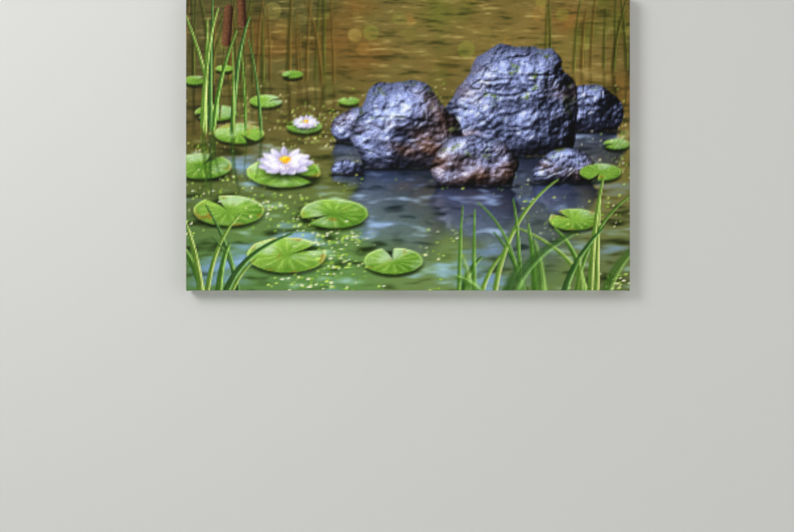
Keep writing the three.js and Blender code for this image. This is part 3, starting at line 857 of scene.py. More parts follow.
edit(canvas, "EDGE")
bpy.ops.mesh.select_non_manifold(
    use_wire=False, use_multi_face=False, use_non_contiguous=False, use_verts=False
)
roll_rim(ROLL, FRONT + ROLL, 0, 90, 3)
for step in range(1, 7):
    carry_rim(0, FRONT + ROLL + (BACK_BEND - FRONT - ROLL) * step / 6)
roll_rim(ROLL, BACK_BEND, 90, 180, 2)
for inset in (PRINT_PAST_BACK - INK_EDGE, PRINT_PAST_BACK + INK_EDGE, MID_FLAP, FLAP):
    carry_rim(inset, BACK)
carry_rim(FLAP, BACK - CLOTH)
carry_rim(ROLL, BACK - CLOTH)
carry_rim(CLOTH, BACK_BEND)
carry_rim(CLOTH, FRONT + ROLL)
carry_rim(ROLL, FRONT + CLOTH)
bpy.ops.mesh.edge_face_add()
leave()
print("cloth:", len(canvas.data.polygons), "faces")

# %% [markdown]
# Stretched cotton isn't a perfect plane. It rises and falls by a hair between the bars, and
# the flap is cut by hand with scissors. Small moves of the points give both.


# %% Loosen the cloth
SLACK, SCISSOR_WANDER = 0.0003, 0.0011


def inset_of(points):
    """How far points lie in from the nearest edge of the print."""
    sideways = WIDTH / 2 - np.abs(points[:, 0])
    return np.minimum(sideways, HEIGHT / 2 - np.abs(points[:, 2] - MIDDLE))


points = vertices_of(canvas)
x, z = points[:, 0], points[:, 2]
inset = inset_of(points)
face_share = ramp(0.0, 0.12, inset) * (points[:, 1] < FRONT + ROLL / 2)
points[:, 1] += SLACK * cloudy(x * 4, z * 5, 3, 2) * face_share
cut_edge = (inset > FLAP - 0.0005) & (points[:, 1] > BACK - 0.001)
uneven = SCISSOR_WANDER * cloudy(x * 28, z * 28, 3, 6) * cut_edge
near_side = (WIDTH / 2 - np.abs(x)) < (HEIGHT / 2 - np.abs(z - MIDDLE))
points[:, 0] -= np.sign(x) * uneven * near_side
points[:, 2] -= np.sign(z - MIDDLE) * uneven * ~near_side
move_vertices(canvas, points)
print("flap's edge moves by up to", round(float(np.abs(uneven).max()) * 1000, 2), "mm")

# %% [markdown]
# ### Ink on the cloth
# The picture is printed a little larger than the face, so that it wraps. Past each edge it
# runs on as a mirror image, over the side and a few millimetres onto the back, where the
# primed cotton is left white. The colours are kept in an attribute on the cloth's points.


# %% Put the picture on the cloth
def to_light(display):
    """Colours as they look on a screen, turned into amounts of light."""
    display = np.asarray(display, float)
    return np.where(display <= 0.04045, display / 12.92, ((display + 0.055) / 1.055) ** 2.4)


PRIMER = (0.90, 0.89, 0.865)
RAW_COTTON = (0.80, 0.735, 0.61)
LEAF_GRAIN, WATER_GRAIN, STONE_GRAIN = 0.30, 0.12, 0.40


def wrap_picture(points):
    """The picture's layers at points on the cloth, and how bare of ink the cloth is there."""
    x, y, z = points.T
    from_side = WIDTH / 2 - np.abs(x)
    from_end = HEIGHT / 2 - np.abs(z - MIDDLE)
    inset = np.minimum(from_side, from_end)
    on_back = y > BACK - 0.0012
    past = np.where(on_back & (inset > ROLL / 2), DEPTH + inset, np.clip(y - FRONT, 0, DEPTH))
    wrapped = y > FRONT + ROLL / 2
    u, v = (x + WIDTH / 2) / HEIGHT, (TOP - z) / HEIGHT
    mirrored_u = np.where(x < 0, past / HEIGHT, WIDE - past / HEIGHT)
    mirrored_v = np.where(z > MIDDLE, past / HEIGHT, 1 - past / HEIGHT)
    u = np.where(wrapped & (from_side <= from_end), mirrored_u, u)
    v = np.where(wrapped & (from_side > from_end), mirrored_v, v)
    white = (past > DEPTH + PRINT_PAST_BACK) * 1.0
    return picture_at(np.clip(u, 0, WIDE), np.clip(v, 0, 1)), white


def depth_in_cloth(points):
    """How far points lie behind the cloth's outer face."""
    a = inset_of(points)
    b = np.minimum(points[:, 1] - FRONT, BACK - points[:, 1])
    rounded = ROLL - np.hypot(np.clip(ROLL - a, 0, None), np.clip(ROLL - b, 0, None))
    return np.where((a < ROLL) & (b < ROLL), rounded, np.minimum(a, b))


def add_attribute(piece, name, kind, values):
    """Stores a number or a colour on each of a piece's points."""
    layer = piece.data.attributes.new(name, kind, "POINT")
    field = "color" if kind == "FLOAT_COLOR" else "value"
    layer.data.foreach_set(field, np.ascontiguousarray(values, np.float32).ravel())


def ink_cloth(piece, raw):
    """Writes a piece's ink, how grainy the picture is there, and where the cotton is raw."""
    here, white = wrap_picture(vertices_of(piece))
    colour = blend(here[:, :3], PRIMER, white)
    colour = to_light(blend(colour, RAW_COTTON, raw))
    opaque = np.ones((len(colour), 1))
    add_attribute(piece, "ink", "FLOAT_COLOR", np.hstack([colour, opaque]))
    grain = LEAF_GRAIN + (WATER_GRAIN - LEAF_GRAIN) * here[:, 3] + STONE_GRAIN * here[:, 4]
    add_attribute(piece, "grain", "FLOAT", grain * (1 - 0.92 * white) * (1 - raw))
    add_attribute(piece, "raw_cotton", "FLOAT", raw)


points = vertices_of(canvas)
raw = (depth_in_cloth(points) > CLOTH * 0.6).astype(float)
ink_cloth(canvas, raw)
only(canvas)
bpy.ops.object.shade_smooth_by_angle(angle=math.radians(50))
print("inked points:", int((raw < 0.5).sum()), "raw points:", int((raw > 0.5).sum()))

# %% [markdown]
# ### Corner folds
# A flat cloth has too much width at a corner. The spare part is folded into a flat triangle,
# laid along the top or bottom side and turned in over the back. Each fold is a thin layer on
# the cloth: a strip of cells on the side, extruded over the edge and drawn out on the back.


# %% Fold the corners
FOLD_LIFT = 0.0009  # the fold's outer face above the cloth
FOLD_SETBACK = 0.0008  # how far it stops short of the print's side
FOLD_CRINKLE = 0.0003
FOLD_CELLS = 10


def corner_fold(name, side, upper):
    """One fold, made at the top right corner and mirrored to its own."""
    reach, start = DEPTH * 0.97, FRONT + ROLL * 1.4
    bpy.ops.mesh.primitive_grid_add(
        x_subdivisions=FOLD_CELLS,
        y_subdivisions=FOLD_CELLS,
        size=1,
        location=(WIDTH / 2 - reach / 2 - FOLD_SETBACK, (start + BACK) / 2, TOP + FOLD_LIFT),
    )
    bpy.context.object.scale = (reach, BACK - start, 1)
    fold = start_piece(name)
    edit(fold, "EDGE")
    leave()  # edit mode now works on edges, and the back ones are picked by place
    for edge in fold.data.edges:
        ends = [fold.data.vertices[i].co for i in edge.vertices]
        edge.select = all(abs(end.y - BACK) < 1e-5 for end in ends)
    bpy.ops.object.mode_set(mode="EDIT")
    level = FOLD_LIFT
    ink_end = -PRINT_PAST_BACK
    # each ring's height against the print's edge, and how far it goes out from the last
    bend = ((0.0003, 0.0008), (-0.0009, 0.0003))
    down_the_back = ((ink_end + INK_EDGE, 0), (ink_end - INK_EDGE, 0), (-0.010, 0), (-0.0155, 0))
    for height, out in (*bend, *down_the_back, (0.0012 - FLAP, 0)):
        bpy.ops.mesh.extrude_region_move(
            TRANSFORM_OT_translate={"value": (0, out, height - level)}
        )
        level = height
    leave()
    points = vertices_of(fold)
    run = (points[:, 1] - start) / (BACK - start)
    on_side = points[:, 2] > TOP + FOLD_LIFT - 1e-6
    corner_x = WIDTH / 2 - FOLD_SETBACK
    share = (corner_x - points[:, 0]) / reach
    width_here = np.where(on_side, reach * np.clip(run, 0.02, 1), reach)
    down = np.clip(TOP + FOLD_LIFT - points[:, 2], 0, None)
    width_back = reach - 0.10 * down
    from_corner = np.where(on_side, 0, down * 0.92)
    width_here = np.where(on_side, width_here, width_back - from_corner)
    points[:, 0] = corner_x - from_corner - share * width_here
    crinkles = cloudy(points[:, 0] * 60, points[:, 1] * 60 + points[:, 2] * 60, 2, 13)
    waviness = FOLD_CRINKLE * crinkles
    sunk = (FOLD_LIFT + 0.0002) * ramp(0.25, 1.0, share) ** 1.5
    bent = ~on_side & (points[:, 2] > TOP)
    points[:, 2] += np.where(on_side, waviness * ramp(0, 0.3, share), 0) - sunk * (on_side | bent)
    points[:, 1] += np.where(on_side, 0, waviness * 0.4 - sunk)
    points[:, 0] *= side
    points[:, 2] = points[:, 2] if upper else 2 * MIDDLE - points[:, 2]
    move_vertices(fold, points)
    ink_cloth(fold, np.zeros(len(points)))
    if side * (1 if upper else -1) < 0:
        edit(fold)
        bpy.ops.mesh.select_all(action="SELECT")
        bpy.ops.mesh.flip_normals()
        leave()
    apply_modifier(fold, "SOLIDIFY", thickness=CLOTH, offset=-1)
    only(fold)
    bpy.ops.object.shade_smooth_by_angle(angle=math.radians(40))
    return fold


corner_folds = [
    corner_fold(f"fold_{end}_{hand}", side, end == "top")
    for end in ("top", "bottom")
    for hand, side in (("left", -1), ("right", 1))
]
print("folds:", [fold.name for fold in corner_folds])

# %% [markdown]
# ## Staples
# A staple gun fixes the flaps to the bars, with a staple every few centimetres, none of them
# quite straight. One staple is shaped from a bar: its ends are cut off with bisect and drawn
# down into legs, and the top edges are rounded. Then it is copied round the frame.

# %% Shape one staple
STAPLE_CROWN = 10.5 * MM
STAPLE_WIRE = 0.7 * MM
STAPLE_LEG = 5 * MM

bpy.ops.mesh.primitive_cube_add(size=1, location=(0, 0, 0))
bpy.context.object.scale = (STAPLE_CROWN, STAPLE_WIRE, STAPLE_WIRE * 1.6)
staple = start_piece("staples")
edit(staple)
for end in (-1, 1):
    bpy.ops.mesh.select_all(action="SELECT")
    bpy.ops.mesh.bisect(
        plane_co=(end * (STAPLE_CROWN / 2 - STAPLE_WIRE), 0, 0), plane_no=(1, 0, 0)
    )
pick_faces(
    staple,
    lambda middle, normal: normal.y < -0.9 and abs(middle.x) > STAPLE_CROWN / 2 - STAPLE_WIRE,
)
bpy.ops.mesh.extrude_region_move(TRANSFORM_OT_translate={"value": (0, -STAPLE_LEG, 0)})
pick_faces(staple, lambda middle, normal: normal.y > 0.9)
bpy.ops.mesh.region_to_loop()
bpy.ops.mesh.bevel(offset=STAPLE_WIRE * 0.3, segments=2, affect="EDGES")
leave()
print("staple:", len(staple.data.polygons), "faces")


# %% Copy the staples round the flaps
STAPLE_ROW = 0.0155  # from the print's edge to the row
ALONG_TOP = np.arange(-0.530, 0.531, 0.0589)
ALONG_SIDE = np.arange(-0.345, 0.346, 0.0575)
DRIFT_X, DRIFT_Z, DRIFT_TURN = 0.003, 0.0008, 0.10  # how far a hand is off


def staple_places():
    """Where the staples go, as x, z, and the angle of the crown."""
    dice = np.random.default_rng(14)
    places = []
    for side in (-1, 1):
        for x in ALONG_TOP:
            places.append((x, MIDDLE + side * (HEIGHT / 2 - STAPLE_ROW), 0.0))
        for z in ALONG_SIDE:
            places.append((side * (WIDTH / 2 - STAPLE_ROW), MIDDLE + z, math.pi / 2))
    return [
        (
            x + dice.normal(0, DRIFT_X),
            z + dice.normal(0, DRIFT_Z),
            turn + dice.normal(0, DRIFT_TURN),
        )
        for x, z, turn in places
    ]


copies = []
for x, z, turn in staple_places():
    only(staple)
    bpy.ops.object.duplicate()
    copy = bpy.context.object
    copy.rotation_euler = (0, turn, 0)
    copy.location = (x, BACK + STAPLE_WIRE * 0.3, z)
    copies.append(copy)
only(staple)
bpy.ops.object.delete()
only(*copies)
bpy.ops.object.join()
staples = bpy.context.object
staples.name = "staples"
bpy.ops.object.transform_apply(location=True, rotation=True, scale=True)
bpy.ops.object.shade_smooth_by_angle(angle=math.radians(40))
print("staples:", len(copies), "in", len(staples.data.polygons), "faces")

# %% [markdown]
# ## Screws
# Each strap is held by two pan head screws. The head is a cylinder whose top edge is rounded
# with a bevel. Its cross recess is a tapered plus, taken away with a Boolean modifier. The
# shank is inset and extruded from the underside, and drawn to a point.

# %% Shape one screw
HEAD_RADIUS, HEAD_HEIGHT, HEAD_ROUNDING = 3.25 * MM, 2.0 * MM, 1.1 * MM
SHANK_RADIUS, SHANK_LENGTH, POINT_LENGTH = 1.5 * MM, 9.5 * MM, 3 * MM

bpy.ops.mesh.primitive_cylinder_add(
    vertices=32, radius=HEAD_RADIUS, depth=HEAD_HEIGHT, location=(0, 0, HEAD_HEIGHT / 2)
)
screw = start_piece("pan_head_screw")
edit(screw)
pick_faces(screw, lambda middle, normal: normal.z > 0.9)
bpy.ops.mesh.region_to_loop()
bpy.ops.mesh.bevel(offset=HEAD_ROUNDING, segments=4, affect="EDGES")
pick_faces(screw, lambda middle, normal: normal.z < -0.9)
bpy.ops.mesh.inset(thickness=HEAD_RADIUS - SHANK_RADIUS)
for length in (SHANK_LENGTH, POINT_LENGTH):
    bpy.ops.mesh.extrude_region_move(TRANSFORM_OT_translate={"value": (0, 0, -length)})
bpy.ops.transform.resize(value=(0.05, 0.05, 1))
leave()
print("screw blank:", len(screw.data.polygons), "faces")

# %% Cut the cross recess
SLOT_WIDTH, SLOT_REACH, SLOT_DEPTH = 0.75 * MM, 1.75 * MM, 1.3 * MM

bpy.ops.mesh.primitive_cube_add(size=1, location=(0, 0, HEAD_HEIGHT))
bpy.context.object.scale = (SLOT_WIDTH, SLOT_WIDTH, 2 * SLOT_DEPTH)
cross = start_piece("cross_cutter")
edit(cross)
for x, y in ((1, 0), (-1, 0), (0, 1), (0, -1)):
    pick_faces(
        cross,
        lambda middle, normal: normal.x * x + normal.y * y > 0.9
        and middle.x * x + middle.y * y < 0.6 * SLOT_WIDTH
        and abs(middle.x * y) + abs(middle.y * x) < 0.1 * SLOT_WIDTH,
    )
    arm = SLOT_REACH - SLOT_WIDTH / 2
    bpy.ops.mesh.extrude_region_move(TRANSFORM_OT_translate={"value": (x * arm, y * arm, 0)})
pick_faces(cross, lambda middle, normal: normal.z < -0.9)
bpy.ops.transform.resize(value=(0.5, 0.5, 1), center_override=(0, 0, 0))
leave()
apply_modifier(screw, "BOOLEAN", operation="DIFFERENCE", solver="EXACT", object=cross)
only(cross)
bpy.ops.object.delete()
only(screw)
bpy.ops.object.shade_smooth_by_angle(angle=math.radians(35))
print("screw:", len(screw.data.polygons), "faces")


# %% Drive the screws
def drive_screw(node, turn):
    """A copy of the screw at a CAD screw's place, turned as it happened to stop."""
    low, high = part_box(node)
    only(screw)
    bpy.ops.object.duplicate()
    copy = bpy.context.object
    copy.name = f"{node}_head"
    copy.data.name = copy.name
    copy.rotation_euler = (0, 0, turn)
    bpy.ops.object.transform_apply(location=True, rotation=True, scale=True)
    copy.rotation_euler = (-math.pi / 2, 0, 0)
    copy.location = ((low.x + high.x) / 2, high.y - HEAD_HEIGHT, (low.z + high.z) / 2)
    bpy.ops.object.transform_apply(location=True, rotation=True, scale=True)
    return copy


SCREW_TURNS = {
    "screw_left_upper": 0.3,
    "screw_left_lower": 1.1,
    "screw_right_upper": 0.7,
    "screw_right_lower": 0.15,
}
screws = {node: drive_screw(node, turn) for node, turn in SCREW_TURNS.items()}
only(screw)
bpy.ops.object.delete()
print("screws:", sorted(screws))

# %% [markdown]
# ## Finishes
# Every finish is a node tree on Object coordinates, so its scale is true in metres and a
# pattern runs on from one piece to the next. A few short helpers add nodes and join them.


# %% Helpers for finishes
class Finish:
    """A material under construction, with its main shader and its coordinates."""

    def __init__(self, name, **constants):
        self.material = bpy.data.materials.new(name)
        self.material.use_nodes = True
        self.nodes = self.material.node_tree.nodes
        self.links = self.material.node_tree.links
        self.shader = self.nodes["Principled BSDF"]
        for socket, value in constants.items():
            self.shader.inputs[socket.replace("_", " ")].default_value = value
        self.place = self.nodes.new("ShaderNodeTexCoord").outputs["Object"]

    def join(self, source, target):
        self.links.new(source, target)

    def give(self, socket, value):
        """Sets an input to a number or colour, or joins it to another node's output."""
        if isinstance(value, bpy.types.NodeSocket):
            self.links.new(value, socket)
        elif value is not None:
            socket.default_value = value

    def stretch(self, scale):
        """Coordinates in which a pattern is drawn out where the scale is small."""
        node = self.nodes.new("ShaderNodeMapping")
        node.inputs["Scale"].default_value = scale
        self.join(self.place, node.inputs["Vector"])
        return node.outputs["Vector"]

    def cloud(self, scale, detail, place=None, rough=0.5):
        node = self.nodes.new("ShaderNodeTexNoise")
        node.inputs["Scale"].default_value = scale
        node.inputs["Detail"].default_value = detail
        node.inputs["Roughness"].default_value = rough
        self.join(place or self.place, node.inputs["Vector"])
        return node.outputs["Fac"]

    def bands(self, scale, direction, distortion, detail, place=None):
        node = self.nodes.new("ShaderNodeTexWave")
        node.bands_direction = direction
        node.inputs["Scale"].default_value = scale
        node.inputs["Distortion"].default_value = distortion
        node.inputs["Detail"].default_value = detail
        self.join(place or self.place, node.inputs["Vector"])
        return node.outputs["Fac"]

    def cells(self, scale, place=None):
        node = self.nodes.new("ShaderNodeTexVoronoi")
        node.inputs["Scale"].default_value = scale
        self.join(place or self.place, node.inputs["Vector"])
        return node.outputs["Distance"]

    def attribute(self, name, output="Fac"):
        node = self.nodes.new("ShaderNodeAttribute")
        node.attribute_name = name
        return node.outputs[output]

    def combine(self, kind, a, b):
        node = self.nodes.new("ShaderNodeMath")
        node.operation = kind
        self.give(node.inputs[0], a)
        self.give(node.inputs[1], b)
        return node.outputs[0]

    def range(self, value, low, high, new_low, new_high):
        """Turns one span of values into another, with a smooth start and end."""
        node = self.nodes.new("ShaderNodeMapRange")
        node.interpolation_type = "SMOOTHSTEP"
        self.join(value, node.inputs["Value"])
        spans = {"From Min": low, "From Max": high, "To Min": new_low, "To Max": new_high}
        for socket, number in spans.items():
            node.inputs[socket].default_value = number
        return node.outputs["Result"]

    def mix(self, share, a, b, kind="MIX"):
        node = self.nodes.new("ShaderNodeMix")
        node.data_type = "RGBA"
        node.blend_type = kind
        self.give(node.inputs["Factor"], share)
        colours = [s for s in node.inputs if s.type == "RGBA"]
        self.give(colours[0], a)
        self.give(colours[1], b)
        return [s for s in node.outputs if s.type == "RGBA"][0]

    def bump(self, height, strength, distance):
        node = self.nodes.new("ShaderNodeBump")
        node.inputs["Strength"].default_value = strength
        node.inputs["Distance"].default_value = distance
        self.join(height, node.inputs["Height"])
        self.join(node.outputs["Normal"], self.shader.inputs["Normal"])

    def colour(self, source):
        self.join(source, self.shader.inputs["Base Color"])

    def roughness(self, source):
        self.join(source, self.shader.inputs["Roughness"])


def tint(red, green, blue):
    """A screen colour as a shader colour."""
    return (*[float(value) for value in to_light((red, green, blue))], 1.0)


# %% [markdown]
# ### Printed cotton
# Ink sinks into a matt primer on a plain weave. The colour comes from the cloth's own
# attribute, with fine grain added where it shows stone or leaves and almost none on still
# water. Threads along X, Y and Z make the relief, so that two of them cross on every side,
# and the raw back is rougher.


# %% Finish for the cloth
THREADS = 240  # a wave texture's scale, which gives a thread every 1.3 mm
DARK_GRAIN, LIGHT_GRAIN = tint(0.30, 0.30, 0.31), tint(0.95, 0.95, 0.96)
SLUB, SEED_HUSK = tint(0.70, 0.635, 0.51), tint(0.50, 0.42, 0.31)


def make_printed_cotton():
    f = Finish("printed_cotton", Specular_IOR_Level=0.12)
    ink = f.attribute("ink", "Color")
    raw = f.attribute("raw_cotton")
    grain = f.cloud(300, 5, rough=0.7)
    grained = f.mix(f.range(grain, 0.3, 0.7, 0.0, 1.0), DARK_GRAIN, LIGHT_GRAIN)
    inked = f.mix(f.attribute("grain"), ink, f.mix(1.0, ink, grained, "OVERLAY"))
    across = f.cloud(420, 3, f.stretch((1, 1, 0.09)), 0.6)
    along = f.cloud(420, 3, f.stretch((0.09, 1, 1)), 0.6)
    slubs = f.combine("ADD", f.range(across, 0.42, 0.74, 0, 1), f.range(along, 0.42, 0.74, 0, 1))
    cotton = f.mix(f.combine("MULTIPLY", slubs, 0.30), ink, SLUB)
    seeds = f.range(f.cells(130), 0.02, 0.07, 0.45, 0.0)
    cotton = f.mix(seeds, cotton, SEED_HUSK)
    f.colour(f.mix(raw, inked, cotton))
    upright, level = f.bands(THREADS, "X", 1.2, 1.0), f.bands(THREADS, "Z", 1.2, 1.0)
    threads = f.combine("ADD", f.combine("ADD", upright, level), f.bands(THREADS, "Y", 1.2, 1.0))
    slack = f.range(f.cloud(90, 2), 0.3, 0.7, 0.7, 1.2)
    f.bump(f.combine("MULTIPLY", threads, slack), 0.30, 0.00012)
    dull = f.range(f.cloud(25, 4), 0.3, 0.7, 0.54, 0.68)
    f.roughness(f.combine("ADD", dull, f.combine("MULTIPLY", raw, 0.25)))
    return f.material


printed_cotton = make_printed_cotton()
settle(canvas, "printed_canvas", printed_cotton, "canvas")
for fold in corner_folds:
    settle(fold, "printed_canvas", printed_cotton)

# %% [markdown]
# ### Wood
# Stretcher bars are planed pine with straight grain and a few small knots, and the wedges are
# hard pale beech with short dark flecks. Grain is noise drawn out along the bar, growth rings
# are distorted bands, and knots are the middles of wide Voronoi cells.


# %% Finishes for the wood
EARLY_WOOD, LATE_WOOD = tint(0.905, 0.81, 0.65), tint(0.79, 0.63, 0.44)
SAP_STAIN = tint(0.84, 0.70, 0.52)
KNOT_HALO, KNOT_HEART = tint(0.66, 0.45, 0.26), tint(0.36, 0.21, 0.12)
PALE_BEECH, TAN_BEECH = tint(0.83, 0.66, 0.48), tint(0.74, 0.56, 0.38)
FLECK = tint(0.52, 0.35, 0.22)
DRAWN_OUT = 0.045  # how much slower the grain changes along a bar than across it


def make_pine(name, stretch, across):
    f = Finish(name, Specular_IOR_Level=0.35)
    drawn = f.stretch(stretch)
    fibres = f.cloud(420, 6, drawn, 0.6)
    rings = f.bands(9.5, across, 7.0, 3.0, drawn)
    tone = f.combine("ADD", f.combine("MULTIPLY", rings, 0.65), f.combine("MULTIPLY", fibres, 0.5))
    wood = f.mix(f.range(tone, 0.25, 0.95, 0.0, 1.0), EARLY_WOOD, LATE_WOOD)
    patches = f.cloud(6, 3, drawn)
    wood = f.mix(f.range(patches, 0.35, 0.7, 0.0, 0.35), wood, SAP_STAIN)
    knot = f.cells(3.1, f.stretch([value * 0.9 + 0.1 for value in stretch]))
    halo = f.range(knot, 0.03, 0.11, 0.55, 0.0)
    wood = f.mix(halo, wood, KNOT_HALO)
    heart = f.range(knot, 0.02, 0.045, 0.85, 0.0)
    wood = f.mix(heart, wood, KNOT_HEART)
    f.colour(wood)
    f.roughness(f.range(fibres, 0.3, 0.7, 0.52, 0.72))
    f.bump(f.combine("ADD", fibres, f.combine("MULTIPLY", rings, 0.5)), 0.25, 0.0003)
    return f.material


def make_beech():
    f = Finish("beech", Specular_IOR_Level=0.35)
    flecks = f.cells(900, f.stretch((0.35, 1, 1)))
    drift = f.cloud(160, 4)
    wood = f.mix(drift, PALE_BEECH, TAN_BEECH)
    f.colour(f.mix(f.range(flecks, 0.05, 0.3, 0.55, 0.0), wood, FLECK))
    f.roughness(f.range(drift, 0.3, 0.7, 0.45, 0.62))
    f.bump(flecks, 0.2, 0.0001)
    return f.material


pine_along_x = make_pine("pine_grain_along_x", (DRAWN_OUT, 1, 1), "Z")
pine_along_z = make_pine("pine_grain_along_z", (1, 1, DRAWN_OUT), "X")
beech = make_beech()
print("wood finishes:", pine_along_x.name, pine_along_z.name, beech.name)

# %% [markdown]
# ### Metal and rubber
# The straps and rings are nickel plated steel, the hooks are brass, and the screws, staples
# and nails are plain steel. Each gets its colour drift, fine brushing and soft wear from
# noise of different scales. The bumpers are dull dark rubber with fine grit.


# %% Finishes for the hardware
BRUSHED = (1, 1, 0.08)  # fine lines up and down
DUSTY, CLEAN_RUBBER = tint(0.27, 0.26, 0.25), tint(0.15, 0.15, 0.15)


def make_metal(name, bright, dull, smooth, worn):
    """Plated metal, from bright and smooth to dull and worn."""
    f = Finish(name, Metallic=1.0)
    film = f.cloud(140, 4)
    f.colour(f.mix(f.range(film, 0.35, 0.7, 0.0, 1.0), bright, dull))
    lines = f.cloud(2600, 3, f.stretch(BRUSHED))
    haze = f.combine("ADD", f.combine("MULTIPLY", film, 0.7), f.combine("MULTIPLY", lines, 0.3))
    f.roughness(f.range(haze, 0.3, 0.7, smooth, worn))
    f.bump(lines, 0.12, 0.00005)
    return f.material


def make_rubber():
    f = Finish("rubber", Specular_IOR_Level=0.3)
    dust = f.cloud(500, 4)
    f.colour(f.mix(f.range(dust, 0.4, 0.75, 0.0, 1.0), CLEAN_RUBBER, DUSTY))
    f.roughness(f.range(dust, 0.3, 0.7, 0.66, 0.86))
    f.bump(f.cloud(1500, 2), 0.25, 0.0001)
    return f.material


nickel = make_metal("nickel", tint(0.86, 0.86, 0.85), tint(0.74, 0.73, 0.71), 0.20, 0.42)
steel = make_metal("steel", tint(0.74, 0.75, 0.76), tint(0.60, 0.61, 0.62), 0.30, 0.52)
brass = make_metal("brass", tint(0.90, 0.76, 0.46), tint(0.76, 0.60, 0.32), 0.22, 0.46)
rubber = make_rubber()

settle(staples, "steel", steel)
for node, head in screws.items():
    settle(head, "steel", steel, node)

# %% [markdown]
# ## Pieces kept from the CAD model
# The bars, brace, wedges and hardware already have their true shapes. Sawn and stamped edges
# are never knife sharp, so a Weld modifier joins the loose triangles, a Decimate modifier makes
# flat faces of them, and a Bevel rounds their edges by less than a millimetre. Its clamp would
# let one short edge thin the rounding of the whole piece, and sliding can turn a face over
# beside a screw hole, so both are off. The rings' round wire is smoothed with a Subdivision
# Surface instead.


# %% Round and finish the kept pieces
SAWN, PLANED, WEDGE = 0.4 * MM, 0.8 * MM, 0.4 * MM
MOULDED, STAMPED, DRAWN = 0.3 * MM, 0.2 * MM, 0.1 * MM
WELD_WITHIN, NEARLY_FLAT, SHARP_FROM = 0.01 * MM, math.radians(1), math.radians(30)


def keep_node(name, finish, rounding=0.0, segments=2, smooth=0):
    """Gives a CAD node its finish, and softens its edges without touching its mesh."""
    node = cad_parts[name]
    node.data.materials.clear()
    node.data.materials.append(finish)
    weld = node.modifiers.new("weld", "WELD")
    weld.merge_threshold = WELD_WITHIN
    if rounding:
        flatten = node.modifiers.new("flat_faces", "DECIMATE")
        flatten.decimate_type = "DISSOLVE"
        flatten.angle_limit = NEARLY_FLAT
        bevel = node.modifiers.new("rounding", "BEVEL")
        bevel.width = rounding
        bevel.segments = segments
        bevel.limit_method = "ANGLE"
        bevel.angle_limit = SHARP_FROM
        bevel.loop_slide = False
        bevel.use_clamp_overlap = False
    if smooth:
        subdivision = node.modifiers.new("smoothing", "SUBSURF")
        subdivision.levels = smooth
        subdivision.render_levels = smooth


for side in ("top", "bottom"):
    keep_node(f"bar_{side}", pine_along_x, SAWN)
for side in ("left", "right"):
    keep_node(f"bar_{side}", pine_along_z, SAWN)
keep_node("brace", pine_along_z, PLANED)
for side in ("top", "right", "bottom", "left"):
    for end in "ab":
        keep_node(f"key_{side}_{end}", beech, WEDGE)
for side in ("left", "right"):
    keep_node(f"strap_{side}", nickel, STAMPED, 1)
    keep_node(f"ring_{side}", nickel, smooth=1)
    keep_node(f"bumper_{side}", rubber, MOULDED)
    keep_node(f"wall_hook_{side}", brass, STAMPED, 1)
    keep_node(f"hook_nail_{side}", steel, DRAWN, 1)
print("kept nodes dressed:", len([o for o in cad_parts.values() if not o.hide_render]))

# %% [markdown]
# ## Studio
# A wall print is shown on a plain pale wall above a pale floor. The wall is one-sided, so that
# the print's back can be looked at too. A wide soft key light comes from the upper left, with
# an even pale surround and weak lights from the right and from behind.

# %% Floor and wall
FLOOR_Z = -1.81
FLOOR_SIZE, WALL_SIZE, WALL_GAP = 80, 8, 0.0002
PALE_GREY = tint(0.83, 0.83, 0.82)


def stage_plane(name, size, location, rotation, finish):
    """A plane of the studio, which isn't a piece of the print."""
    bpy.ops.mesh.primitive_plane_add(size=size, location=location, rotation=rotation)
    plane = start_piece(name)
    plane.data.materials.append(finish)
    return plane


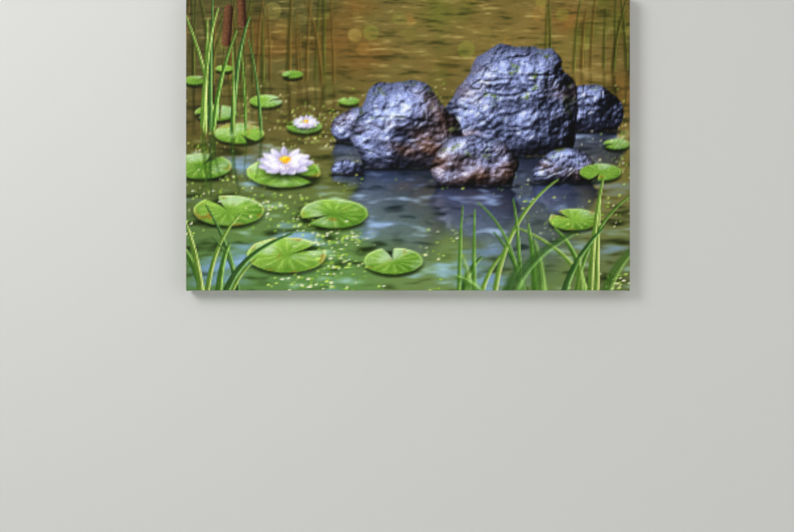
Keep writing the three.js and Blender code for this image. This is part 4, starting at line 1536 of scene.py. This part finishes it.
def make_stage_paint(name, one_sided):
    """Matt paint, which a one-sided plane shows on its front alone."""
    f = Finish(name, Roughness=0.9, Specular_IOR_Level=0.15, Base_Color=PALE_GREY)
    f.bump(f.cloud(220, 3), 0.08, 0.0004)
    if one_sided:
        clear = f.nodes.new("ShaderNodeBsdfTransparent")
        either = f.nodes.new("ShaderNodeMixShader")
        facing = f.nodes.new("ShaderNodeNewGeometry")
        f.join(facing.outputs["Backfacing"], either.inputs[0])
        f.join(f.shader.outputs[0], either.inputs[1])
        f.join(clear.outputs[0], either.inputs[2])
        f.join(either.outputs[0], f.nodes["Material Output"].inputs["Surface"])
    return f.material


floor_paint = make_stage_paint("pale_floor", one_sided=False)
wall_paint = make_stage_paint("pale_wall", one_sided=True)
floor = stage_plane("floor", FLOOR_SIZE, (0, 0, FLOOR_Z), (0, 0, 0), floor_paint)
wall = stage_plane(
    "wall", WALL_SIZE, (0, WALL_GAP, FLOOR_Z + WALL_SIZE / 2), (math.pi / 2, 0, 0), wall_paint
)
for kind in ("shadow", "diffuse", "glossy"):
    setattr(wall, f"visible_{kind}", False)
print("stage:", floor.name, wall.name)


# %% Lights
# power, size and place of each soft lamp
LAMPS = {
    "key": (74, 1.6, (-2.3, -2.7, 1.2)),
    "fill": (16, 2.0, (2.6, -2.4, -0.2)),
    "back": (60, 2.0, (1.4, 2.6, 0.9)),
}
SURROUND = 0.55


def area_light(name, power, size, location, target):
    """A square soft lamp that is turned to its target."""
    bpy.ops.object.light_add(type="AREA", location=location)
    light = bpy.context.object
    light.name = name
    light.data.energy = power
    light.data.size = size
    aim = Vector(target) - Vector(location)
    light.rotation_euler = aim.to_track_quat("-Z", "Y").to_euler()
    return light


for name, (power, size, location) in LAMPS.items():
    area_light(name, power, size, location, (0, 0, MIDDLE))
world = bpy.data.worlds.new("surround")
world.use_nodes = True
background = world.node_tree.nodes["Background"]
background.inputs["Color"].default_value = (1, 1, 1, 1)
background.inputs["Strength"].default_value = SURROUND
bpy.context.scene.world = world
bpy.context.scene.view_settings.view_transform = "Standard"
